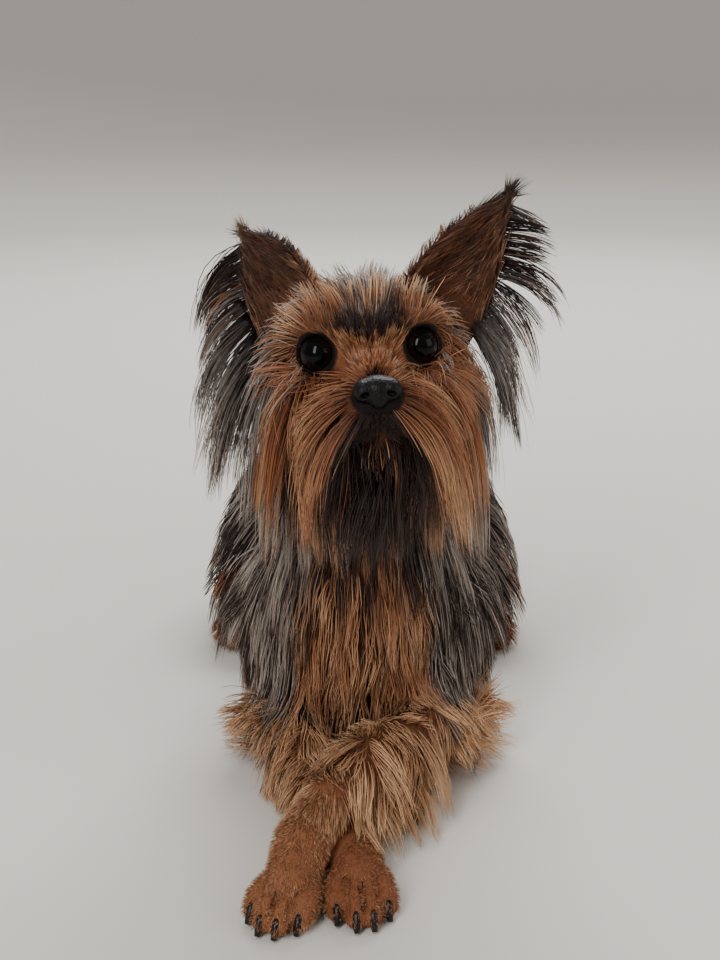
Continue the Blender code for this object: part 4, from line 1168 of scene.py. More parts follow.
@dataclass
class Body:
    """The skin over the flesh, with its lids, eye sockets, mouth and the clefts between the toes."""

    anatomy: Anatomy = field(default_factory=Anatomy)
    lid_radius: float = 0.001
    lid_depth: float = 0.58
    lid_melt: float = 0.0012
    socket_radius: float = 0.0058
    socket_depth: float = 0.8
    socket_melt: float = 0.0008
    eye_room: float = 0.00015
    mouth_radius: float = 0.0135
    mouth_middle: float = -0.0395
    mouth_bow: float = 0.003
    lip_gap: float = 0.0011
    lip_melt: float = 0.001
    cleft_melt: float = 0.0006
    slender: float = 0.006
    floor_gap: float = 0.0002
    nodes: tuple[str, ...] = (
        "torso", "neck", "head", "tail", "foreleg_left", "foreleg_right", "hindleg_left", "hindleg_right",
    )

    def grid(self) -> Field:
        """The empty grid, finest about the face."""
        return Field((
            uneven((-0.072, -0.034, 0.0014), (-0.034, 0.034, 0.0007), (0.034, 0.072, 0.0014)),
            uneven((-0.192, -0.14, 0.0009), (-0.14, -0.088, 0.0006), (-0.088, 0.178, 0.0024)),
            uneven(
                (-0.004, 0.026, 0.0009), (0.026, 0.122, 0.0018),
                (0.122, 0.166, 0.0006), (0.166, 0.18, 0.0014),
            ),
        ))

    def mouth(self) -> Limb:
        """The mouth.

        Returns:
            Its line round the muzzle, from corner to corner.
        """
        points = []
        for angle in range(-80, 81, 20):
            turn = math.radians(angle)
            across = self.mouth_radius * math.sin(turn)
            along = self.mouth_middle - self.mouth_radius * math.cos(turn) ** 1.2
            place = Vector((across, along, -MOUTH_DROP - self.mouth_bow * (1 - math.cos(turn))))
            points.append(tuple(HEAD @ place))
        return Limb(tuple(points), (self.lip_gap,) * len(points), 3)

    def lids(self, side: int) -> Limb:
        """The lids of one eye.

        Args:
            side: the side.

        Returns:
            Their rim, a ring round the eyeball's front.
        """
        gaze = sided(EYE_GAZE, side).normalized()
        ahead = HEAD.to_3x3().normalized() @ gaze
        centre = HEAD @ sided(EYE_PLACE, side) + ahead * EYE_RADIUS * self.lid_depth
        frame = (HEAD.to_3x3() @ gaze).to_track_quat("Z", "Y").to_matrix()
        size = EYE_RADIUS * math.sqrt(1 - self.lid_depth**2)
        angles = np.linspace(0, 2 * math.pi, 17)
        ring = [centre + frame @ Vector((math.cos(a), math.sin(a) * 0.94, 0)) * size for a in angles]
        return Limb(tuple(tuple(p) for p in ring), (self.lid_radius,) * len(ring), 2)

    def clefts(self, place: Sequence[float], turn: float) -> list[Limb]:
        """The clefts between the toes of a paw.

        Args:
            place: the paw's middle.
            turn: its turn about the vertical, in degrees.

        Returns:
            The three clefts.
        """
        frame = paw_frame(place, turn)
        course = ((0.95, -0.006, 0.0062), (1.05, -0.0105, 0.0052), (1.1, -0.0165, 0.002))
        clefts = []
        for across in (-1, 0, 1):
            line = []
            for spread, along, height in course:
                spot = frame @ Vector((across * TOE_SPREAD * spread, along, 0.0))
                spot.z = TOE_RADIUS + height
                line.append(spot)
            clefts.append(Limb(tuple(tuple(spot) for spot in line), (0.0008, 0.001, 0.001), 3))
        return clefts

    def build(self) -> tuple[Field, Object]:
        """Draws the skin.

        Returns:
            The field of distances and the skin's mesh object.
        """
        body = self.grid()
        for part, forms in self.anatomy.parts().items():
            for number, form in enumerate(forms):
                melt = self.anatomy.face_melt if part is Part.HEAD else self.anatomy.melt
                # From its forearm on, the right foreleg stays apart from the left one that lies over it.
                apart = part is Part.FORELEG_RIGHT and number > 0
                small = isinstance(form, Limb) and max(form.radii) < self.slender
                body.join(form, self.anatomy.paw_melt if small or apart else melt)
        for side in (1, -1):
            eye, gaze = eye_pose(side)
            socket = Ball(tuple(eye + gaze * EYE_RADIUS * self.socket_depth), (self.socket_radius,) * 3)
            body.carve(socket, self.socket_melt)
            body.join(self.lids(side), self.lid_melt)
            body.carve(Ball(tuple(eye), (EYE_RADIUS + self.eye_room,) * 3), 0.0003)
        body.carve(self.mouth(), self.lip_melt)
        for place, turn in (*FORE_PAWS.values(), hind_paw(1), hind_paw(-1)):
            for cleft in self.clefts(place, turn):
                body.carve(cleft, self.cleft_melt)
        corners, faces = body.drawn(0.0006)
        corners[:, 2] = np.maximum(corners[:, 2], self.floor_gap)
        skin = new_mesh("skin", corners, faces)
        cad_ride(skin, SKIN_SLOT, *self.nodes)
        return body, skin

    def part_of(self, places: Array) -> Array:
        """The number, in the order of Part, of the body part that each of some places is on."""
        parts = self.anatomy.parts().values()
        return np.argmin([np.min([form.distance(places) for form in forms], 0) for forms in parts], 0)


@dataclass
class Eye:
    """One eye: a ball with a slight bulge of cornea at its front."""

    side: int
    rings: int = 40
    bulge: float = 0.00045

    def sphere(self) -> tuple[Array, Array]:
        """A round ball about Z.

        Returns:
            Its corners, at distance one, and its faces.
        """
        angles = np.linspace(0, math.pi, self.rings)[1:-1]
        turns = np.linspace(0, 2 * math.pi, 2 * self.rings, endpoint=False)
        grid = np.array([
            [(math.sin(a) * math.cos(t), math.sin(a) * math.sin(t), math.cos(a)) for t in turns]
            for a in angles
        ]).reshape(-1, 3)
        wide, rows = len(turns), len(angles)
        faces = tube_walls(rows, wide, turned=True)
        top, end, last = rows * wide, rows * wide + 1, (rows - 1) * wide
        faces += [(top, i, (i + 1) % wide) for i in range(wide)]
        faces += [(end, last + (i + 1) % wide, last + i) for i in range(wide)]
        return np.vstack([grid, [(0, 0, 1), (0, 0, -1)]]), np.array(faces)

    def build(self, material: Material) -> None:
        """Makes the eye and dresses it.

        Args:
            material: the eyes' finish.
        """
        place, gaze = eye_pose(self.side)
        points, faces = self.sphere()
        front = np.clip(points[:, 2], 0, 1)
        size = EYE_RADIUS + self.bulge * smooth_step(0.78, 1.0, front)
        frame = matrix_of(gaze.to_track_quat("Z", "Y").to_matrix())
        corners = (points * size[:, None]) @ frame.T + np.array(place)
        word = side_word(self.side)
        eye = new_mesh(f"eyeball_{word}", corners, faces)
        give_values(eye, {"front": front})
        eye.data.materials.append(material)
        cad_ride(eye, "eye", f"eye_{word}")


@dataclass
class Nose:
    """The nose leather with its comma-shaped nostrils and the groove between them."""

    spacing: float = 0.00032
    reach: float = 0.0115
    nostril_melt: float = 0.0005

    def pad(self) -> list[tuple[Form, float]]:
        """The pad without its nostrils.

        Returns:
            Its body, lower end and two wings, each with how far it melts in.
        """
        half = NOSE_WIDTH / 2
        wing = (half * 0.44, 0.0042, 0.0035)
        return [
            (Ball((0, 0.001, 0.0004), (half * 0.92, 0.006, 0.0047)), 0.002),
            (Ball((0, -0.0006, -0.003), (0.0029, 0.004, 0.003)), 0.002),
            *[(Ball((side * half * 0.62, -0.0008, 0.0002), wing), 0.0016) for side in (-1, 1)],
        ]

    def nostril(self, side: int) -> list[Form]:
        """The hole of one nostril and the slit that runs back from it.

        Args:
            side: the side.

        Returns:
            The two forms.
        """
        slit = (
            (side * 0.005, -0.0058, -0.001), (side * 0.0072, -0.004, -0.0022),
            (side * 0.0082, -0.0015, -0.0026),
        )
        hole = Ball((side * 0.0046, -0.0052, -0.001), (0.0018, 0.0026, 0.0009), (0, side * 28, side * 24))
        return [hole, Limb(slit, (0.0008, 0.0006, 0.0004), 3)]

    def build(self, material: Material) -> None:
        """Makes the nose and dresses it.

        Args:
            material: the nose leather.
        """
        line = np.arange(-self.reach, self.reach, self.spacing)
        pad = Field((line, line, line))
        for form, melt in self.pad():
            pad.join(form, melt)
        for side in (-1, 1):
            for form in self.nostril(side):
                pad.carve(form, self.nostril_melt)
        groove = ((0, -0.0066, 0.0018), (0, -0.0064, -0.002), (0, -0.0056, -0.0055), (0, -0.003, -0.008))
        pad.carve(Limb(groove, (0.0003, 0.0005, 0.0006, 0.0006), 3), 0.0006)
        corners, faces = pad.drawn(0.0003)
        corners = moved(HEAD @ Matrix.Translation(NOSE_PLACE), corners)
        nose = new_mesh("nose_pad", corners, faces)
        nose.data.materials.append(material)
        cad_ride(nose, "nose_leather", "nose")


@dataclass
class Claws:
    """The four claws of one paw, curved down to the floor."""

    name: str
    place: Triple
    turn: float
    sides: int = 10
    pieces: int = 4
    radii: Triple = (0.002, 0.0021, 0.001)
    arch: float = 0.0016
    tip_height: float = 0.0009

    def line(self, across: float, along: float) -> Limb:
        """The arched line of one claw.

        Args:
            across: the toe's place across the paw.
            along: the toe's place along the paw.

        Returns:
            The line, from inside the toe to the claw's tip.
        """
        frame = paw_frame(self.place, self.turn)
        start = frame @ Vector((across * 1.1, along - TOE_RADIUS * 0.75, 0.0))
        tip = frame @ Vector((across * 1.18, along - TOE_RADIUS * 0.9 - CLAW_LENGTH, 0.0))
        start.z, tip.z = TOE_RADIUS * 1.2, self.tip_height
        middle = start.lerp(tip, 0.55) + Vector((0, 0, self.arch))
        return Limb((tuple(start), tuple(middle), tuple(tip)), self.radii, self.pieces)

    def claw(self, line: Limb, first: int) -> tuple[Array, list[tuple[int, int, int]]]:
        """One claw, a little narrower than deep.

        Args:
            line: the line that it follows.
            first: the number of its first corner.

        Returns:
            Its corners and its faces.
        """
        places, widths = line.path()
        count, sides = len(places), self.sides
        angles = np.linspace(0, 2 * math.pi, sides, endpoint=False)
        oval = np.stack([np.cos(angles) * 0.8, np.sin(angles), np.zeros(sides)], axis=-1)
        rings = []
        for i, (spot, width) in enumerate(zip(places, widths)):
            ahead = Vector(places[min(i + 1, count - 1)] - places[max(i - 1, 0)])
            turn = matrix_of(ahead.to_track_quat("Z", "Y").to_matrix())
            rings.append((oval * width) @ turn.T + spot)
        faces = tube_walls(count, sides, first)
        low, last = first + count * sides, first + (count - 1) * sides
        faces += [(low, first + (k + 1) % sides, first + k) for k in range(sides)]
        faces += [(low + 1, last + k, last + (k + 1) % sides) for k in range(sides)]
        return np.vstack([*rings, places[0], places[-1]]), faces

    def build(self, material: Material) -> None:
        """Makes the claws and dresses them.

        Args:
            material: the claws' horn.
        """
        corners, faces = np.empty((0, 3)), []
        for across, along in toe_places():
            rings, walls = self.claw(self.line(across, along), len(corners))
            corners = np.vstack([corners, rings])
            faces += walls
        claws = new_mesh(self.name, corners, np.array(faces))
        claws.data.materials.append(material)
        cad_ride(claws, "nose_leather")


@dataclass(frozen=True)
class EarStance:
    """How an ear is carried, in the head's frame: its base, the way to its tip and the way its cup faces.

    tall is its share of the full length. The higher blunt is, the rounder is the tip. The higher low is,
    the more of the fringe grows near the base.
    """

    base: Triple
    up: Triple
    face: Triple
    tall: float
    blunt: float
    low: float


EAR_STANCES = {
    1: EarStance((0.0292, -0.002, 0.0205), (0.56, 0.02, 0.82), (0.35, -1.0, 0.05), 0.9, 1.7, 1.9),
    -1: EarStance((-0.0262, 0.001, 0.0195), (-0.25, 0.62, 0.68), (-0.5, -0.85, -0.2), 0.93, 2.6, 1.15),
}


@dataclass
class Ear:
    """One ear: a thin pointed sheet curled into a cup that is rooted in the skull."""

    side: int
    columns: int = 26
    rows: int = 26
    curl: float = 82.0
    curl_loss: float = 52.0
    tip_half: float = 0.0012
    step: float = 0.02
    back_dark: float = 0.95
    cup_lighter: float = 0.3

    def frame(self) -> tuple[Array, Array, Array, Array]:
        """How it stands, in the head's frame.

        Returns:
            Its base and three unit directions: to the tip, across and the way the cup faces.
        """
        stance = EAR_STANCES[self.side]
        up = unit(np.array(stance.up))
        face = np.array(stance.face)
        face = unit(face - up * (face @ up))
        return np.array(stance.base), up, np.cross(up, face), face

    def points(self, across: Array, along: Array) -> Array:
        """Places on the middle of the ear's sheet.

        Args:
            across: from -1 to 1 over the cup.
            along: from 0 at the base to 1 at the tip.

        Returns:
            The places in the frame of the whole dog.
        """
        stance = EAR_STANCES[self.side]
        base, up, wide, face = self.frame()
        inward = np.maximum(along, 0.0)
        half = EAR_WIDTH / 2 * np.maximum(1 - inward**stance.blunt, 0.0) ** 0.9 + self.tip_half
        curl = np.radians(self.curl - self.curl_loss * inward)
        bow = half / np.sin(curl)
        hollow = bow * (np.cos(across * curl) - np.cos(curl))
        local = (
            base + up * (EAR_LENGTH * stance.tall * along)[:, None]
            + wide * (bow * np.sin(across * curl))[:, None] - face * hollow[:, None]
        )
        return moved(HEAD, local)

    def outward(self, across: Array, along: Array) -> Array:
        """The way out of the ear's back.

        Args:
            across: from -1 to 1 over the cup.
            along: from 0 at the base to 1 at the tip.

        Returns:
            One unit direction a place.
        """
        step = self.step / 2
        one = self.points(across + step, along) - self.points(across - step, along)
        two = self.points(across, along + step) - self.points(across, along - step)
        normal = unit(np.cross(one, two))
        _, _, _, face = self.frame()
        facing = matrix_of(HEAD)[:3, :3] @ face
        return np.where((normal @ facing)[:, None] > 0, -normal, normal)

    def upward(self, across: Array, along: Array) -> Array:
        """The way from the base to the tip at places on the ear."""
        return unit(self.points(across, along + self.step) - self.points(across, along - self.step))

    def build(self, material: Material) -> None:
        """Makes the ear and dresses it.

        Args:
            material: the short-furred skin.
        """
        lines = np.linspace(-EAR_ROOT, 1.0, self.rows)
        steps = np.linspace(-1, 1, self.columns)
        along, across = [grid.ravel() for grid in np.meshgrid(lines, steps, indexing="ij")]
        middle, out = self.points(across, along), self.outward(across, along)
        # The sheet thins towards its sides and its tip.
        sides = np.sqrt(np.clip(1 - np.abs(across) ** 6, 0.04, 1))
        tip = np.sqrt(np.clip(1 - np.maximum(along, 0) ** 8, 0.05, 1))
        half = (EAR_THICKNESS / 2 * (sides * tip))[:, None]
        corners = np.vstack([middle + out * half, middle - out * half])
        total, wide = len(middle), self.columns
        faces = []
        for j in range(self.rows - 1):
            for i in range(wide - 1):
                a = j * wide + i
                faces.append((a, a + 1, a + wide + 1, a + wide))
                faces.append((total + a, total + a + wide, total + a + wide + 1, total + a + 1))
        edge = (
            list(range(wide)) + [j * wide + wide - 1 for j in range(1, self.rows)]
            + [(self.rows - 1) * wide + i for i in range(wide - 2, -1, -1)]
            + [j * wide for j in range(self.rows - 2, 0, -1)]
        )
        for a, b in zip(edge, edge[1:] + edge[:1]):
            faces.append((b, a, total + a, total + b))
        word = side_word(self.side)
        ear = new_mesh(f"ear_sheet_{word}", corners, np.array(faces))
        inner = np.concatenate([np.zeros(total), np.ones(total)])
        give_values(ear, {
            "dark": self.back_dark - self.cup_lighter * inner, "silver": 0 * inner, "pale": 0 * inner,
            "along": 0 * inner + 0.55, "shade": 0 * inner + 0.42,
        })
        ear.data.materials.append(material)
        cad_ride(ear, "ear", f"ear_{word}")


# The coat

@dataclass
class Roots:
    """Where strands grow and how each of them lies."""

    place: Array
    normal: Array
    lie: Lie


@dataclass(frozen=True)
class Coat:
    """One stretch of coat: how dense and how fine it is, and how it falls.

    per_cm2 is the strands to a square centimetre, width is in metres, sag is the pull of its weight,
    clump is how far strands gather, frizz how far they stray, and wave how far they swing. straight is
    the cosine of the sharpest bend, base is how far towards a tip's colour the hair is at its root, and
    contrast is how sharply its hairs differ in colour.
    """

    per_cm2: float
    width: float
    steps: int = 7
    sag: float = 0.3
    clump: float = 0.6
    clump_size: int = 16
    frizz: float = 0.07
    wave: float = 0.0013
    ragged: float = 0.16
    slot: str = "body_coat"
    straight: float = 0.45
    base: float = 0.0
    contrast: float = 4.0


@dataclass
class Strands:
    """Bent strands ready to be drawn: their paths, facings, widths and colours."""

    path: Array
    facing: Array
    width: Array
    silver: Array
    dark: Array
    pale: Array
    shade: Array
    chart: Array

    def some(self, keep: Array) -> "Strands":
        """The strands that keep chooses."""
        return Strands(*[getattr(self, name)[keep] for name in self.__dataclass_fields__])


@dataclass
class Groomer:
    """Grows, bends and draws the hair.

    hangs and gathers are the lengths between which hair comes to hang and to lie in locks. taper is how
    wide a hair is along its length.
    """

    body: Field
    draw: np.random.Generator
    material: Material
    patch: float = 0.003
    piece_triangles: int = 185000
    root_depth: float = 0.0008
    skin_room: float = 0.00015
    floor_spread: float = 0.002
    swing_length: float = 0.03
    hangs: tuple[float, float] = (0.01, 0.04)
    gathers: tuple[float, float] = (0.012, 0.036)
    taper: tuple[tuple[float, float], ...] = ((0, 0.7), (0.15, 1.0), (0.55, 0.9), (0.85, 0.55), (1, 0.2))

    def scatter(self, corners: Array, faces: Array, density: Array) -> Array:
        """Places spread over a surface.

        Args:
            corners: the surface's corners.
            faces: its triangles.
            density: strands to a square metre on each triangle.

        Returns:
            The places.
        """
        a, b, c = (corners[faces[:, i]] for i in range(3))
        area = span_of(np.cross(b - a, c - a)) / 2
        share = area * density
        count = int(share.sum())
        chosen = self.draw.choice(len(faces), size=count, p=share / share.sum())
        one, two = np.sqrt(self.draw.random(count))[:, None], self.draw.random(count)[:, None]
        return a[chosen] * (1 - one) + b[chosen] * (one * (1 - two)) + c[chosen] * (one * two)

    def clumps(self, places: Array, size: int) -> Array:
        """Sorts strands into locks.

        Args:
            places: their roots.
            size: how many strands a lock has.

        Returns:
            The number of the strand that each gathers to.
        """
        count = max(len(places) // size, 1)
        leaders = self.draw.choice(len(places), size=count, replace=False)
        tree = KDTree(count)
        for number in leaders:
            tree.insert(places[number], int(number))
        tree.balance()
        return np.array([tree.find(place)[1] for place in places])

    def bend(self, roots: Roots, coat: Coat, leader: Array) -> tuple[Array, Array]:
        """Lets strands fall over the body.

        Args:
            roots: where they grow and how they lie.
            coat: how this stretch of coat falls.
            leader: the strand that each gathers to.

        Returns:
            The points of each strand, from under the skin to its tip, and the way each point faces.
        """
        count = len(roots.place)
        stray = self.draw.normal(size=(count, 3)) * coat.frizz
        drift = self.draw.normal(size=(count, 3))[leader] * coat.frizz * 1.3
        flow, normal = unit(roots.lie.flow + stray + drift), roots.normal
        lie = unit(flow - normal * np.sum(flow * normal, axis=-1, keepdims=True))
        lift = roots.lie.lift * self.draw.uniform(0.6, 1.5, count)
        heading = unit(lie * np.cos(lift)[:, None] + normal * np.sin(lift)[:, None])
        ragged = self.draw.normal(0, coat.ragged, count) * 0.6
        ragged = ragged + self.draw.normal(0, coat.ragged, count)[leader]
        length = roots.lie.length * np.clip(1 - np.abs(ragged), 0.35, 1.0)
        # Short hair is stiff for its weight, and long hair hangs.
        weight = coat.sag * smooth_step(*self.hangs, length)[:, None]
        layer = self.draw.random(count) ** 1.3
        path, facing = [roots.place - normal * self.root_depth], [normal]
        place = roots.place.copy()
        for i in range(coat.steps):
            share = (i + 1) / coat.steps
            heading = unit(heading + np.array([0, 0, -1]) * weight * (0.4 + share) * 6 / coat.steps)
            place = place + heading * (length / coat.steps)[:, None]
            gap, out = self.body.sample(place), self.body.outward(place)
            room = self.skin_room + roots.lie.loft * (0.15 + 0.85 * layer) * min(share * 1.6, 1.0)
            place = place + out * np.maximum(room - gap, 0)[:, None]
            place[:, 2] = np.maximum(place[:, 2], FLOOR_ROOM + self.floor_spread * layer)
            heading = unit(place - path[-1])
            path.append(place.copy())
            facing.append(unit(facing[-1] * 0.5 + out))
        points, faces = self.eased(np.stack(path, axis=1)), np.stack(facing, axis=1)
        along = np.linspace(0, 1, coat.steps + 1)
        gather = coat.clump * (0.55 + 0.45 * smooth_step(*self.gathers, length))[:, None, None]
        pull = gather * along[None, :, None] ** 1.3 * self.draw.uniform(0.5, 1.25, (count, 1, 1))
        points = points + (points[leader] - points) * np.clip(pull, 0, 0.95)
        # Each strand swings in one plane, so that it stays smooth where the body under it turns.
        across = unit(np.cross(points[:, -1] - points[:, 0], faces.mean(axis=1)))[:, None]
        phase = self.draw.uniform(0, 2 * math.pi, count)[leader] + self.draw.normal(0, 0.35, count)
        turns = (length / self.swing_length)[:, None] * along[None, :] * 2 * math.pi
        swing = np.sin(turns + phase[:, None]) - np.sin(phase)[:, None]
        size = (coat.wave * roots.lie.wave)[:, None] * along[None, :] ** 0.7
        points = points + across * (swing * size)[..., None]
        points[:, 1:, 2] = np.maximum(points[:, 1:, 2], FLOOR_ROOM)
        return points, faces

    def eased(self, points: Array) -> Array:
        """Takes the kinks out of strands, and keeps them out of the skin.

        Args:
            points: the points of each strand.

        Returns:
            The same points, moved.
        """
        for _ in range(2):
            points[:, 1:-1] = points[:, 1:-1] * 0.5 + (points[:, :-2] + points[:, 2:]) * 0.25
        inner = points[:, 2:]
        gap, out = self.body.sample(inner), self.body.outward(inner)
        points[:, 2:] = inner + out * np.maximum(self.skin_room - gap, 0)[..., None]
        return points

    def picked(self, share: Array, mood: Array, contrast: float) -> Array:
        """How far each hair takes a colour, from 0 to 1, so that about the given share of them has it."""
        return np.clip((share - mood) * contrast + share, 0, 1)

    def mood(self, leader: Array, own: float = 0.45) -> Array:
        """Even random numbers for the hairs' colours.

        Args:
            leader: the strand that each gathers to.
            own: how much of a number is the hair's own, the rest being its lock's.

        Returns:
            One number from 0 to 1 a hair.
        """
        count = len(leader)
        mixed = self.draw.normal(size=count)[leader] * (1 - own) + self.draw.normal(size=count) * own
        ranks = np.empty(count)
        ranks[np.argsort(mixed)] = np.linspace(0, 1, count)
        return ranks

    def strands(self, roots: Roots, coat: Coat, chart: Array) -> Strands:
        """Bends strands and gives each its width and colours.

        Args:
            roots: where they grow and how they lie.
            coat: their stretch of coat.
            chart: each root's place on the body part's unwrap.

        Returns:
            The strands, without any that bend too sharply.
        """
        leader = self.clumps(roots.place, coat.clump_size)
        path, facing = self.bend(roots, coat, leader)
        count = len(path)
        mood = self.mood(leader)
        dark = self.picked(roots.lie.dark, mood, coat.contrast)
        silver = self.picked(roots.lie.silver_of_rest(), self.mood(leader), coat.contrast)
        pale = np.clip(roots.lie.pale + (self.mood(leader) - 0.5) * 0.7, 0, 1)
        shade = np.clip(0.5 + (self.mood(leader, 0.6) - 0.5) * 0.85, 0, 1)
        width = coat.width * self.draw.uniform(0.65, 1.25, count)
        strands = Strands(path, facing, width, silver, dark, pale, shade, chart)
        ahead = unit(np.diff(path, axis=1))
        return strands.some((np.sum(ahead[:, 1:] * ahead[:, :-1], axis=-1) > coat.straight).all(axis=1))

    def sketch(self, name: str, strands: Strands, coat: Coat) -> None:
        """Draws strands as three-sided tapered prisms, in as many pieces as their count asks for.

        Args:
            name: what the pieces are called.
            strands: the strands.
            coat: their stretch of coat.
        """
        steps = strands.path.shape[1] - 1
        each = 6 * (steps - 1) + 4
        parts = max(1, math.ceil(len(strands.path) * each / self.piece_triangles))
        order = np.argsort(strands.path[:, 0, 1], kind="stable")
        for number, chosen in enumerate(np.array_split(order, parts)):
            title = name if parts == 1 else f"{name}_{number + 1}"
            self.piece(title, strands, chosen, coat)
            LOG.info("%s: %d strands, %d triangles", title, len(chosen), len(chosen) * each)

    def piece(self, name: str, strands: Strands, chosen: Array, coat: Coat) -> None:
        """Draws some of the strands as one mesh.

        Args:
            name: what the piece is called.
            strands: all the strands.
            chosen: the numbers of the ones that are drawn.
            coat: their stretch of coat.
        """
        path, facing = strands.path[chosen], strands.facing[chosen]
        count, points = path.shape[0], path.shape[1]
        rings = points - 1
        ahead = unit(np.gradient(path, axis=1))
        across = unit(np.cross(ahead, facing))
        back = np.cross(across, ahead)
        share = np.linspace(0, 1, points)
        profile = np.interp(share, *zip(*self.taper))
        size = strands.width[chosen][:, None] / 2 * profile[None, :]
        corners = np.empty((count, rings * 3 + 1, 3))
        for k, angle in enumerate((90, 210, 330)):
            side, through = math.cos(math.radians(angle)), math.sin(math.radians(angle))
            offset = across * side * 1.1 + back * through * 0.8
            corners[:, k:rings * 3:3] = (path + offset * size[..., None])[:, :rings]
        corners[:, -1] = path[:, -1]
        faces = tube_walls(rings, 3)
        last = 3 * (rings - 1)
        faces += [(last + k, last + (k + 1) % 3, rings * 3) for k in range(3)]
        faces.append((2, 1, 0))
        pattern = np.array(faces)
        starts = np.arange(count)[:, None, None] * (rings * 3 + 1)
        triangles = (pattern[None] + starts).reshape(-1, 3)
        obj = new_mesh(name, corners.reshape(-1, 3), triangles)
        along = np.append(np.repeat(share[:rings], 3), 1.0)
        give_values(obj, {"along": np.tile(coat.base + (1 - coat.base) * along, count)})
        give_values(obj, {
            mark: np.repeat(getattr(strands, mark)[chosen], rings * 3 + 1)
            for mark in ("shade", "silver", "dark", "pale")
        })
        self.chart_strands(obj, strands.chart[chosen], along, pattern)
        obj.data.materials.append(self.material)
        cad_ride(obj, coat.slot)

    def chart_strands(self, obj: Object, chart: Array, along: Array, pattern: Array) -> None:
        """Gives each strand a small patch of the OFBake map, at its root's place on the body part's unwrap.

        Args:
            obj: the piece.
            chart: each root's place on the body part's unwrap.
            along: how far along a strand each of its corners is.
            pattern: the faces of one strand.
        """
        around = np.append(np.tile([0.0, 0.5, 1.0], (len(along) - 1) // 3), 0.5)
        spot = np.stack([around, along], axis=-1) * self.patch
        low = chart.min(0)
        span = np.maximum(chart.max(0) - low, 1e-6)
        place = (chart - low) / span * (1 - 2 * self.patch) + self.patch / 2
        uv = place[:, None, :] + spot[pattern.ravel()][None]
        layer = obj.data.uv_layers.new(name="OFBake")
        layer.data.foreach_set("uv", uv.astype(np.float32).ravel())


def chart_of(places: Array, origin: Sequence[float], along: Sequence[float], up: Sequence[float]) -> Array:
    """A body part's own unwrap, about a line through it.

    Args:
        places: places on the part.
        origin: a place on the line.
        along: the line's direction.
        up: the way opposite to the seam.

    Returns:
        The angle round the line and the distance along it.
    """
    line, top = unit(np.array(along, float)), np.array(up, float)
    top = unit(top - line * (top @ line))
    side = np.cross(line, top)
    offset = places - np.array(origin)
    angle = np.arctan2(offset @ side, offset @ top) / (2 * math.pi) + 0.5
    return np.stack([angle, offset @ line], axis=-1)


PART_LINES = {
    Part.TORSO: ((0, 0, 0.04), (0, 1, 0), (0, 0, -1)),
    Part.NECK: ((0, -0.055, 0.095), (0, -0.25, 1), (0, 1, 0)),
    Part.HEAD: ((0, -0.085, 0.14), (0, 0, 1), (0, 1, 0)),
    Part.FORELEG_LEFT: ((0.03, -0.07, 0.02), (-0.5, -0.85, 0), (0, 0, -1)),
    Part.FORELEG_RIGHT: ((-0.035, -0.07, 0.015), (0.35, -0.9, 0), (0, 0, -1)),
    Part.HINDLEG: ((0, 0.06, 0.03), (0, 1, 0), (0, 0, -1)),
    Part.TAIL: ((0, 0.13, 0.06), (0, 1, -0.2), (0, 0, -1)),
}

FORELEG_COAT = Coat(
    54, 0.00038, 6, 0.3, 0.8, 26, 0.05, wave=0.0012, ragged=0.28, slot="leg_coat", straight=0.8, base=0.52,
)
PAW_FUR = Coat(
    282, 0.00021, 3, 0.0, 0.1, 6, 0.03, wave=0.0, ragged=0.16, slot="leg_coat", straight=0.8, base=0.4,
)
COATS = {
    Part.TORSO: Coat(17, 0.00052, 6, 0.62, clump_size=16, wave=0.0014, ragged=0.22),
    Part.NECK: Coat(62, 0.0004, 6, 0.5, clump=0.66, wave=0.0014, ragged=0.24),
    Part.HEAD: Coat(
        86, 0.00037, 7, 0.46, 0.76, 22, 0.05, ragged=0.26, slot="face_coat", straight=0.6, base=0.1,
    ),
    Part.FORELEG_LEFT: FORELEG_COAT,
    Part.FORELEG_RIGHT: FORELEG_COAT,
    Part.HINDLEG: Coat(15, 0.00058, 6, 0.45, slot="leg_coat"),
    Part.TAIL: Coat(45, 0.0005, 6, 0.4),
}
SHORT_COATS = {
    Part.HEAD: Coat(465, 0.00022, 3, 0.0, 0.22, 6, 0.08, 0.0, slot="face_coat", base=0.25),
    Part.FORELEG_LEFT: PAW_FUR,
    Part.FORELEG_RIGHT: PAW_FUR,
    Part.HINDLEG: Coat(110, 0.00036, 3, 0.0, 0.2, 6, 0.1, 0.0, slot="leg_coat", base=0.3),
}
EAR_COAT = Coat(0, 0.00032, 7, 0.38, 0.82, 20, 0.1, 0.001, 0.25, slot="ear")
EAR_FUR = Coat(0, 0.00026, 3, 0.0, 0.15, 6, 0.06, 0.0, 0.2, slot="ear", base=0.2, contrast=0.9)
# Hair shorter than this is short fur.
SHORT_HAIR = 0.0095


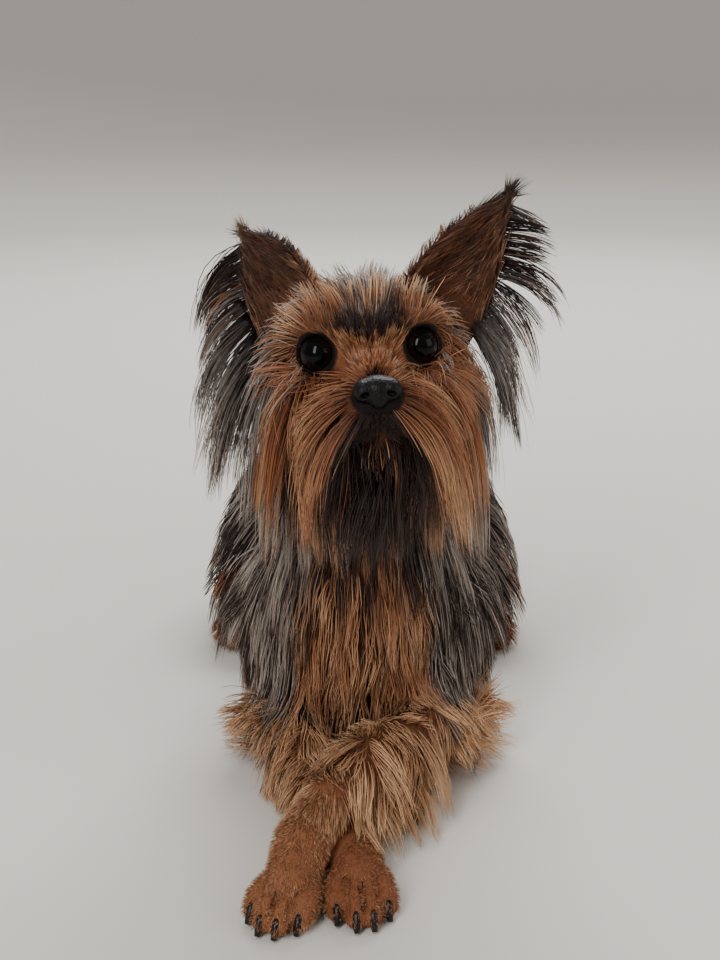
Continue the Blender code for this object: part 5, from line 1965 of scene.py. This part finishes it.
@dataclass
class EarCoat:
    """The hair of one ear: short fur on both faces of the cup and a fringe along its rim."""

    ear: Ear
    fringed: int
    furred: int = 2400
    fringe_lift: float = 16.0
    edge_length: float = 0.006

    def roots(self, draw: np.random.Generator) -> tuple[Roots, Roots]:
        """Where the ear's hairs grow.

        Args:
            draw: the source of chance.

        Returns:
            The roots of the short fur and the roots of the fringe.
        """
        across, along = draw.uniform(-1, 1, self.furred), draw.uniform(-0.1, 1, self.furred)
        back = np.where(draw.random(self.furred) < 0.4, 1.0, -1.0)[:, None]
        normal = self.ear.outward(across, along) * back
        place = self.ear.points(across, along) + normal * EAR_THICKNESS * 0.3
        lie = EAR_PELTS[self.ear.side].at(place)
        short = replace(lie, length=np.minimum(lie.length, 0.008 + 0.006 * draw.random(self.furred)))
        short.lift = np.full(self.furred, math.radians(3))
        up = self.ear.upward(across, along)
        short.flow = unit(up + 0.25 * lie.flow)
        short.silver = lie.silver * 0.25
        return Roots(place, normal, short), self.rim(draw)

    def rim(self, draw: np.random.Generator) -> Roots:
        """Where the fringe grows, most of it on the rim that faces away from the head.

        Args:
            draw: the source of chance.

        Returns:
            The roots of the fringe, and of a few short hairs on the other rim.
        """
        outer = self.outer_side()
        near = draw.random(self.fringed) < 0.8
        across = np.where(near, outer, -outer) * draw.uniform(0.86, 1.0, self.fringed)
        along = 1.12 * draw.random(self.fringed) ** EAR_STANCES[self.ear.side].low - 0.12
        normal = self.ear.outward(across, along)
        place = self.ear.points(across, along)
        lie = EAR_PELTS[self.ear.side].at(place)
        edge = unit(self.ear.points(across, along) - self.ear.points(across * 0.7, along))
        up = self.ear.upward(across, along)
        lie.flow = unit(np.where(near[:, None], edge * 0.8 + lie.flow, up + edge * 0.05))
        lie.length = np.where(near, lie.length, self.edge_length) * (0.65 + 0.35 * draw.random(self.fringed))
        lie.lift = np.radians(np.where(near, self.fringe_lift, 4.0))
        return Roots(place, normal, lie)

    def outer_side(self) -> float:
        """Which edge of the cup faces away from the head, as -1 or 1 across it."""
        ends = self.ear.points(np.array([-1.0, 1.0]), np.array([0.4, 0.4]))
        return 1.0 if abs(ends[1, 0]) > abs(ends[0, 0]) else -1.0


@dataclass
class Terrier:
    """The whole dog: its skin, its features and its coat."""

    seed: int = 11
    body_shape: Body = field(default_factory=Body)
    bare_eye: float = 0.0065
    bare_nose: float = 0.0056
    bare_touch: float = 0.0035
    bare_height: float = 0.003
    lid_black: tuple[float, float] = (0.0068, 0.0078)
    nose_black: tuple[float, float] = (0.0078, 0.0092)
    lip_black: tuple[float, float] = (0.0012, 0.003)
    veil_reach: tuple[float, float] = (0.002, 0.03)
    veil_eye: float = 0.0056
    veil_nose: float = 0.0066
    ear_fringes: tuple[int, int] = (860, 1500)
    side_density: float = 0.72
    breast_density: float = 2.5
    breast_fineness: float = 0.35

    def build(self) -> None:
        """Makes every piece in order."""
        skin_finish = SkinFinish().material()
        body, skin = self.body_shape.build()
        LOG.info("skin: %d faces", len(skin.data.polygons))
        corners = np.empty(len(skin.data.vertices) * 3, np.float32)
        skin.data.vertices.foreach_get("co", corners)
        corners = corners.reshape(-1, 3).astype(float)
        parts = self.body_shape.part_of(corners)
        self.mark_skin(skin, corners, parts)
        skin.data.materials.append(skin_finish)
        ears = [Ear(side) for side in (1, -1)]
        self.build_features(ears, skin_finish)
        groomer = Groomer(body, np.random.default_rng(self.seed), HairFinish().material())
        quads = np.array([list(p.vertices) for p in skin.data.polygons])
        triangles = np.vstack([quads[:, [0, 1, 2]], quads[:, [0, 2, 3]]])
        self.grow(groomer, corners, triangles, parts)
        for ear, fringed in zip(ears, self.ear_fringes):
            self.grow_ear(groomer, ear, fringed)

    def build_features(self, ears: Sequence[Ear], skin_finish: Material) -> None:
        """Makes the eyes, the ears, the nose and the claws.

        Args:
            ears: the two ears.
            skin_finish: what the ears are dressed in.
        """
        eye_finish = EyeFinish().material()
        for side in (1, -1):
            Eye(side).build(eye_finish)
        for ear in ears:
            ear.build(skin_finish)
        Nose().build(LeatherFinish().material())
        horn = HornFinish().material()
        for name, (place, turn) in (
            ("claws_fore_left", FORE_PAWS[1]), ("claws_fore_right", FORE_PAWS[-1]),
            ("claws_hind_left", hind_paw(1)), ("claws_hind_right", hind_paw(-1)),
        ):
            Claws(name, place, turn).build(horn)
        LOG.info("eyes, ears, nose and claws made")

    def eye_place(self, side: int, ahead: float = 0.6) -> Array:
        """The middle of an eye's opening."""
        place, gaze = eye_pose(side)
        return np.array(place + gaze * EYE_RADIUS * ahead)

    def nose_place(self, ahead: float = 0.0) -> Array:
        """The middle of the nose, or a place that far ahead of it."""
        return np.array(HEAD @ Vector((NOSE_PLACE[0], NOSE_PLACE[1] - ahead, NOSE_PLACE[2])))

    def mark_skin(self, skin: Object, corners: Array, parts: Array) -> None:
        """Gives the skin the markings of the coat that grows on it, darkened as painted shade where that
        coat is long, and its black lids and lips.

        Args:
            skin: the skin.
            corners: its corners.
            parts: the number of the body part that each corner is on.
        """
        marks = {name: np.zeros(len(corners)) for name in ("silver", "dark", "pale", "along")}
        for number, part in enumerate(Part):
            here = parts == number
            if not here.any():
                continue
            lie = PELTS[part].at(corners[here])
            marks["silver"][here] = lie.silver_of_rest()
            marks["dark"][here], marks["pale"][here] = lie.dark, lie.pale
            # Painted shade under the coat: the skin takes a dark root colour under long hair and a lighter
            # one under short fur.
            marks["along"][here] = 0.08 + 0.34 * (1 - smooth_step(0.006, 0.022, lie.length))
        black = np.zeros(len(corners))
        for side in (1, -1):
            gap = span_of(corners - self.eye_place(side))
            black = np.maximum(black, 1 - smooth_step(*self.lid_black, gap))
        gap = span_of(corners - self.nose_place())
        black = np.maximum(black, 1 - smooth_step(*self.nose_black, gap))
        gap = self.body_shape.mouth().distance(corners)
        black = np.maximum(black, 1 - smooth_step(*self.lip_black, gap))
        marks["dark"] = np.maximum(marks["dark"], black)
        marks["along"] *= 1 - black
        give_values(skin, {**marks, "shade": np.full(len(corners), 0.4)})

    def grow(self, groomer: Groomer, corners: Array, triangles: Array, parts: Array) -> None:
        """Grows the coat of every part of the body, long and short.

        Args:
            groomer: what grows it.
            corners: the skin's corners.
            triangles: the skin's faces, in triangles.
            parts: the number of the body part that each corner is on.
        """
        middles = corners[triangles].mean(1)
        owner = parts[triangles[:, 0]]
        for number, part in enumerate(Part):
            here = (owner == number) & self.is_coated(part, middles)
            length = PELTS[part].at(middles[here]).length
            shares = {"long": np.ones(len(length)), "short": np.zeros(len(length))}
            if part in SHORT_COATS:
                shares["long"] = smooth_step(SHORT_HAIR * 0.8, SHORT_HAIR * 1.2, length)
                shares["short"] = 1 - shares["long"]
            # The body's hair is densest at the breast and shoulders, and where little of it overlaps.
            thick = np.ones(len(length))
            if part is Part.TORSO:
                thick = self.side_density + self.breast_density * self.breast(middles[here])
            if part in (Part.TORSO, Part.HINDLEG, Part.TAIL):
                thick *= 0.82 + 1.1 * smooth_step(0.35, 0.85, groomer.body.outward(middles[here])[:, 2])
            for kind, coats in (("long", COATS), ("short", SHORT_COATS)):
                if shares[kind].max() <= 0:
                    continue
                coat = coats[part]
                density = shares[kind] * coat.per_cm2 * 1e4 * thick
                places = groomer.scatter(corners, triangles[here], density)
                roots = Roots(places, groomer.body.outward(places), PELTS[part].at(places))
                strands = groomer.strands(roots, coat, chart_of(places, *PART_LINES[part]))
                strands = self.without_veils(part, strands)
                if part is Part.TORSO:
                    strands.width *= 1 - self.breast_fineness * self.breast(strands.path[:, 0])
                groomer.sketch(f"coat_{part.value}_{kind}", strands, coat)

    def breast(self, places: Array) -> Array:
        """How much each of some places is at the front of the chest, from 0 to 1."""
        return 1 - smooth_step(-0.09, -0.04, places[:, 1])

    def grow_ear(self, groomer: Groomer, ear: Ear, fringed: int) -> None:
        """Grows the fur and the fringe of one ear.

        Args:
            groomer: what grows them.
            ear: the ear.
            fringed: how many hairs the fringe has.
        """
        base, up, _, _ = ear.frame()
        line = matrix_of(HEAD)[:3, :3] @ up
        middle = moved(HEAD, base[None])[0]
        fur, fringe = EarCoat(ear, fringed).roots(groomer.draw)
        for kind, roots, coat in (("fur", fur, EAR_FUR), ("fringe", fringe, EAR_COAT)):
            strands = groomer.strands(roots, coat, chart_of(roots.place, middle, line, (0, 1, 0)))
            name = f"ear_{side_word(ear.side)}_{kind}"
            groomer.sketch(name, self.without_veils(Part.HEAD, strands), coat)

    def is_coated(self, part: Part, places: Array) -> Array:
        """Where tufts grow: not on the lids, the nose's bed or under the body.

        Args:
            part: the part of the body.
            places: places on it.

        Returns:
            Whether each place has tufts.
        """
        coated = places[:, 2] > self.bare_height
        if part is Part.HEAD:
            for side in (1, -1):
                coated &= span_of(places - self.eye_place(side)) > self.bare_eye
            coated &= span_of(places - self.nose_place()) > self.bare_nose
        for leg, side in ((Part.FORELEG_LEFT, 1), (Part.FORELEG_RIGHT, -1)):
            if part is leg:
                # Nothing grows where the legs touch.
                other = self.body_shape.anatomy.foreleg(-side)[1]
                coated &= other.distance(places) > self.bare_touch
        return coated

    def without_veils(self, part: Part, strands: Strands) -> Strands:
        """Leaves out the strands that would pass in front of an eye or the nose.

        Args:
            part: the part of the body that they grow on.
            strands: the strands.

        Returns:
            The strands that stay.
        """
        if part is not Part.HEAD:
            return strands
        clear = np.ones(len(strands.path), bool)
        near, far = self.veil_reach
        for side in (1, -1):
            # The view of an eye is straighter ahead than its own gaze.
            view = HEAD.to_3x3() @ sided(EYE_GAZE, side * 0.3)
            gaze = np.array(view.normalized())
            offset = strands.path - self.eye_place(side, 0.0)
            ahead = offset @ gaze
            aside = span_of(offset - ahead[..., None] * gaze)
            clear &= ~((ahead > near) & (ahead < far) & (aside < self.veil_eye)).any(axis=1)
        gap = span_of((strands.path - self.nose_place(0.004)) / (1.05, 1.3, 0.85))
        clear &= ~(gap < self.veil_nose).any(axis=1)
        return strands.some(clear)


# The studio

class Panel(NamedTuple):
    """A soft light: its name, its place, its two sides in metres and its power in watts."""

    name: str
    place: Triple
    size: tuple[float, float]
    watts: float


@dataclass
class Studio:
    """A plain pale floor that rises at its far edge, soft lights and the camera."""

    image_width: int = 720
    image_height: int = 960
    focal_pixels: float = 1350.0
    pitch: float = 17.0
    camera_place: Triple = (-0.00191, -0.51162, 0.23929)
    floor_colour: str = "#d9d5cf"
    floor_tooth_mm: float = 2.5
    floor_sides: int = 64
    floor_profile: tuple[tuple[float, float], ...] = (
        (0.6, 0.0), (1.6, 0.0), (2.2, 0.1), (2.8, 0.42), (3.2, 1.0), (3.4, 1.8),
    )
    air_colour: str = "#f4f1ec"
    air_strength: float = 0.48
    panels: tuple[Panel, ...] = (
        Panel("key", (-0.55, -1.25, 1.05), (0.35, 1.2), 17),
        Panel("fill", (1.3, -0.6, 0.7), (0.9, 0.9), 5),
        Panel("back", (0.2, 1.1, 1.3), (1.4, 0.7), 30),
    )

    def build(self) -> None:
        """Sets up the floor, the lights and the camera."""
        self.floor()
        for panel in self.panels:
            self.light(panel)
        world = bpy.data.worlds.new("studio_air")
        world.use_nodes = True
        world.node_tree.nodes["Background"].inputs[0].default_value = linear(self.air_colour)
        world.node_tree.nodes["Background"].inputs[1].default_value = self.air_strength
        bpy.context.scene.world = world
        self.camera()

    def floor(self) -> None:
        """The floor, a disc that bends up into a backdrop all round."""
        sides = self.floor_sides
        corners = [(0.0, 0.0, 0.0)]
        for radius, height in self.floor_profile:
            for k in range(sides):
                angle = 2 * math.pi * k / sides
                corners.append((radius * math.cos(angle), radius * math.sin(angle), height))
        faces = [(0, 1 + k, 1 + (k + 1) % sides) for k in range(sides)]
        faces += tube_walls(len(self.floor_profile), sides, 1, turned=True)
        floor = new_mesh("studio_floor", np.array(corners), np.array(faces))
        material, make = new_material("matt_paper")
        place = make.add("ShaderNodeTexCoord")
        tooth = make.add("ShaderNodeTexNoise", inputs={
            "Vector": place.outputs["Object"], "Scale": 1000 / self.floor_tooth_mm,
        })
        bump = make.add("ShaderNodeBump", inputs={
            "Strength": 0.05, "Distance": 0.0005, "Height": tooth.outputs[0],
        })
        shader = make.add("ShaderNodeBsdfPrincipled", inputs={
            "Base Color": linear(self.floor_colour), "Roughness": 0.9, "Normal": bump.outputs[0],
        })
        make.add("ShaderNodeOutputMaterial", inputs={"Surface": shader.outputs[0]})
        floor.data.materials.append(material)

    def light(self, panel: Panel) -> None:
        """Hangs a light so that it faces the dog.

        Args:
            panel: the light.
        """
        lamp = bpy.data.lights.new(panel.name, "AREA")
        lamp.shape = "RECTANGLE"
        lamp.size, lamp.size_y = panel.size
        lamp.energy = panel.watts
        obj = bpy.data.objects.new(panel.name, lamp)
        obj.location = panel.place
        obj.rotation_mode = "QUATERNION"
        obj.rotation_quaternion = (Vector((0, -0.05, 0.08)) - Vector(panel.place)).to_track_quat("-Z", "Y")
        bpy.context.scene.collection.objects.link(obj)

    def camera(self) -> None:
        """The camera, where the photographer held it."""
        data = bpy.data.cameras.new("camera")
        data.sensor_width = 36.0
        data.lens = 36.0 * self.focal_pixels / max(self.image_width, self.image_height)
        data.clip_start = 0.01
        camera = bpy.data.objects.new("camera", data)
        camera.location = self.camera_place
        camera.rotation_euler = (math.radians(90 - self.pitch), 0, 0)
        bpy.context.scene.collection.objects.link(camera)
        bpy.context.scene.camera = camera


def main() -> None:
    """Dresses the frame."""
    logging.basicConfig(level=logging.INFO, format="%(message)s")
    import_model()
    Studio().build()
    Terrier().build()


if __name__ == "__main__":
    main()
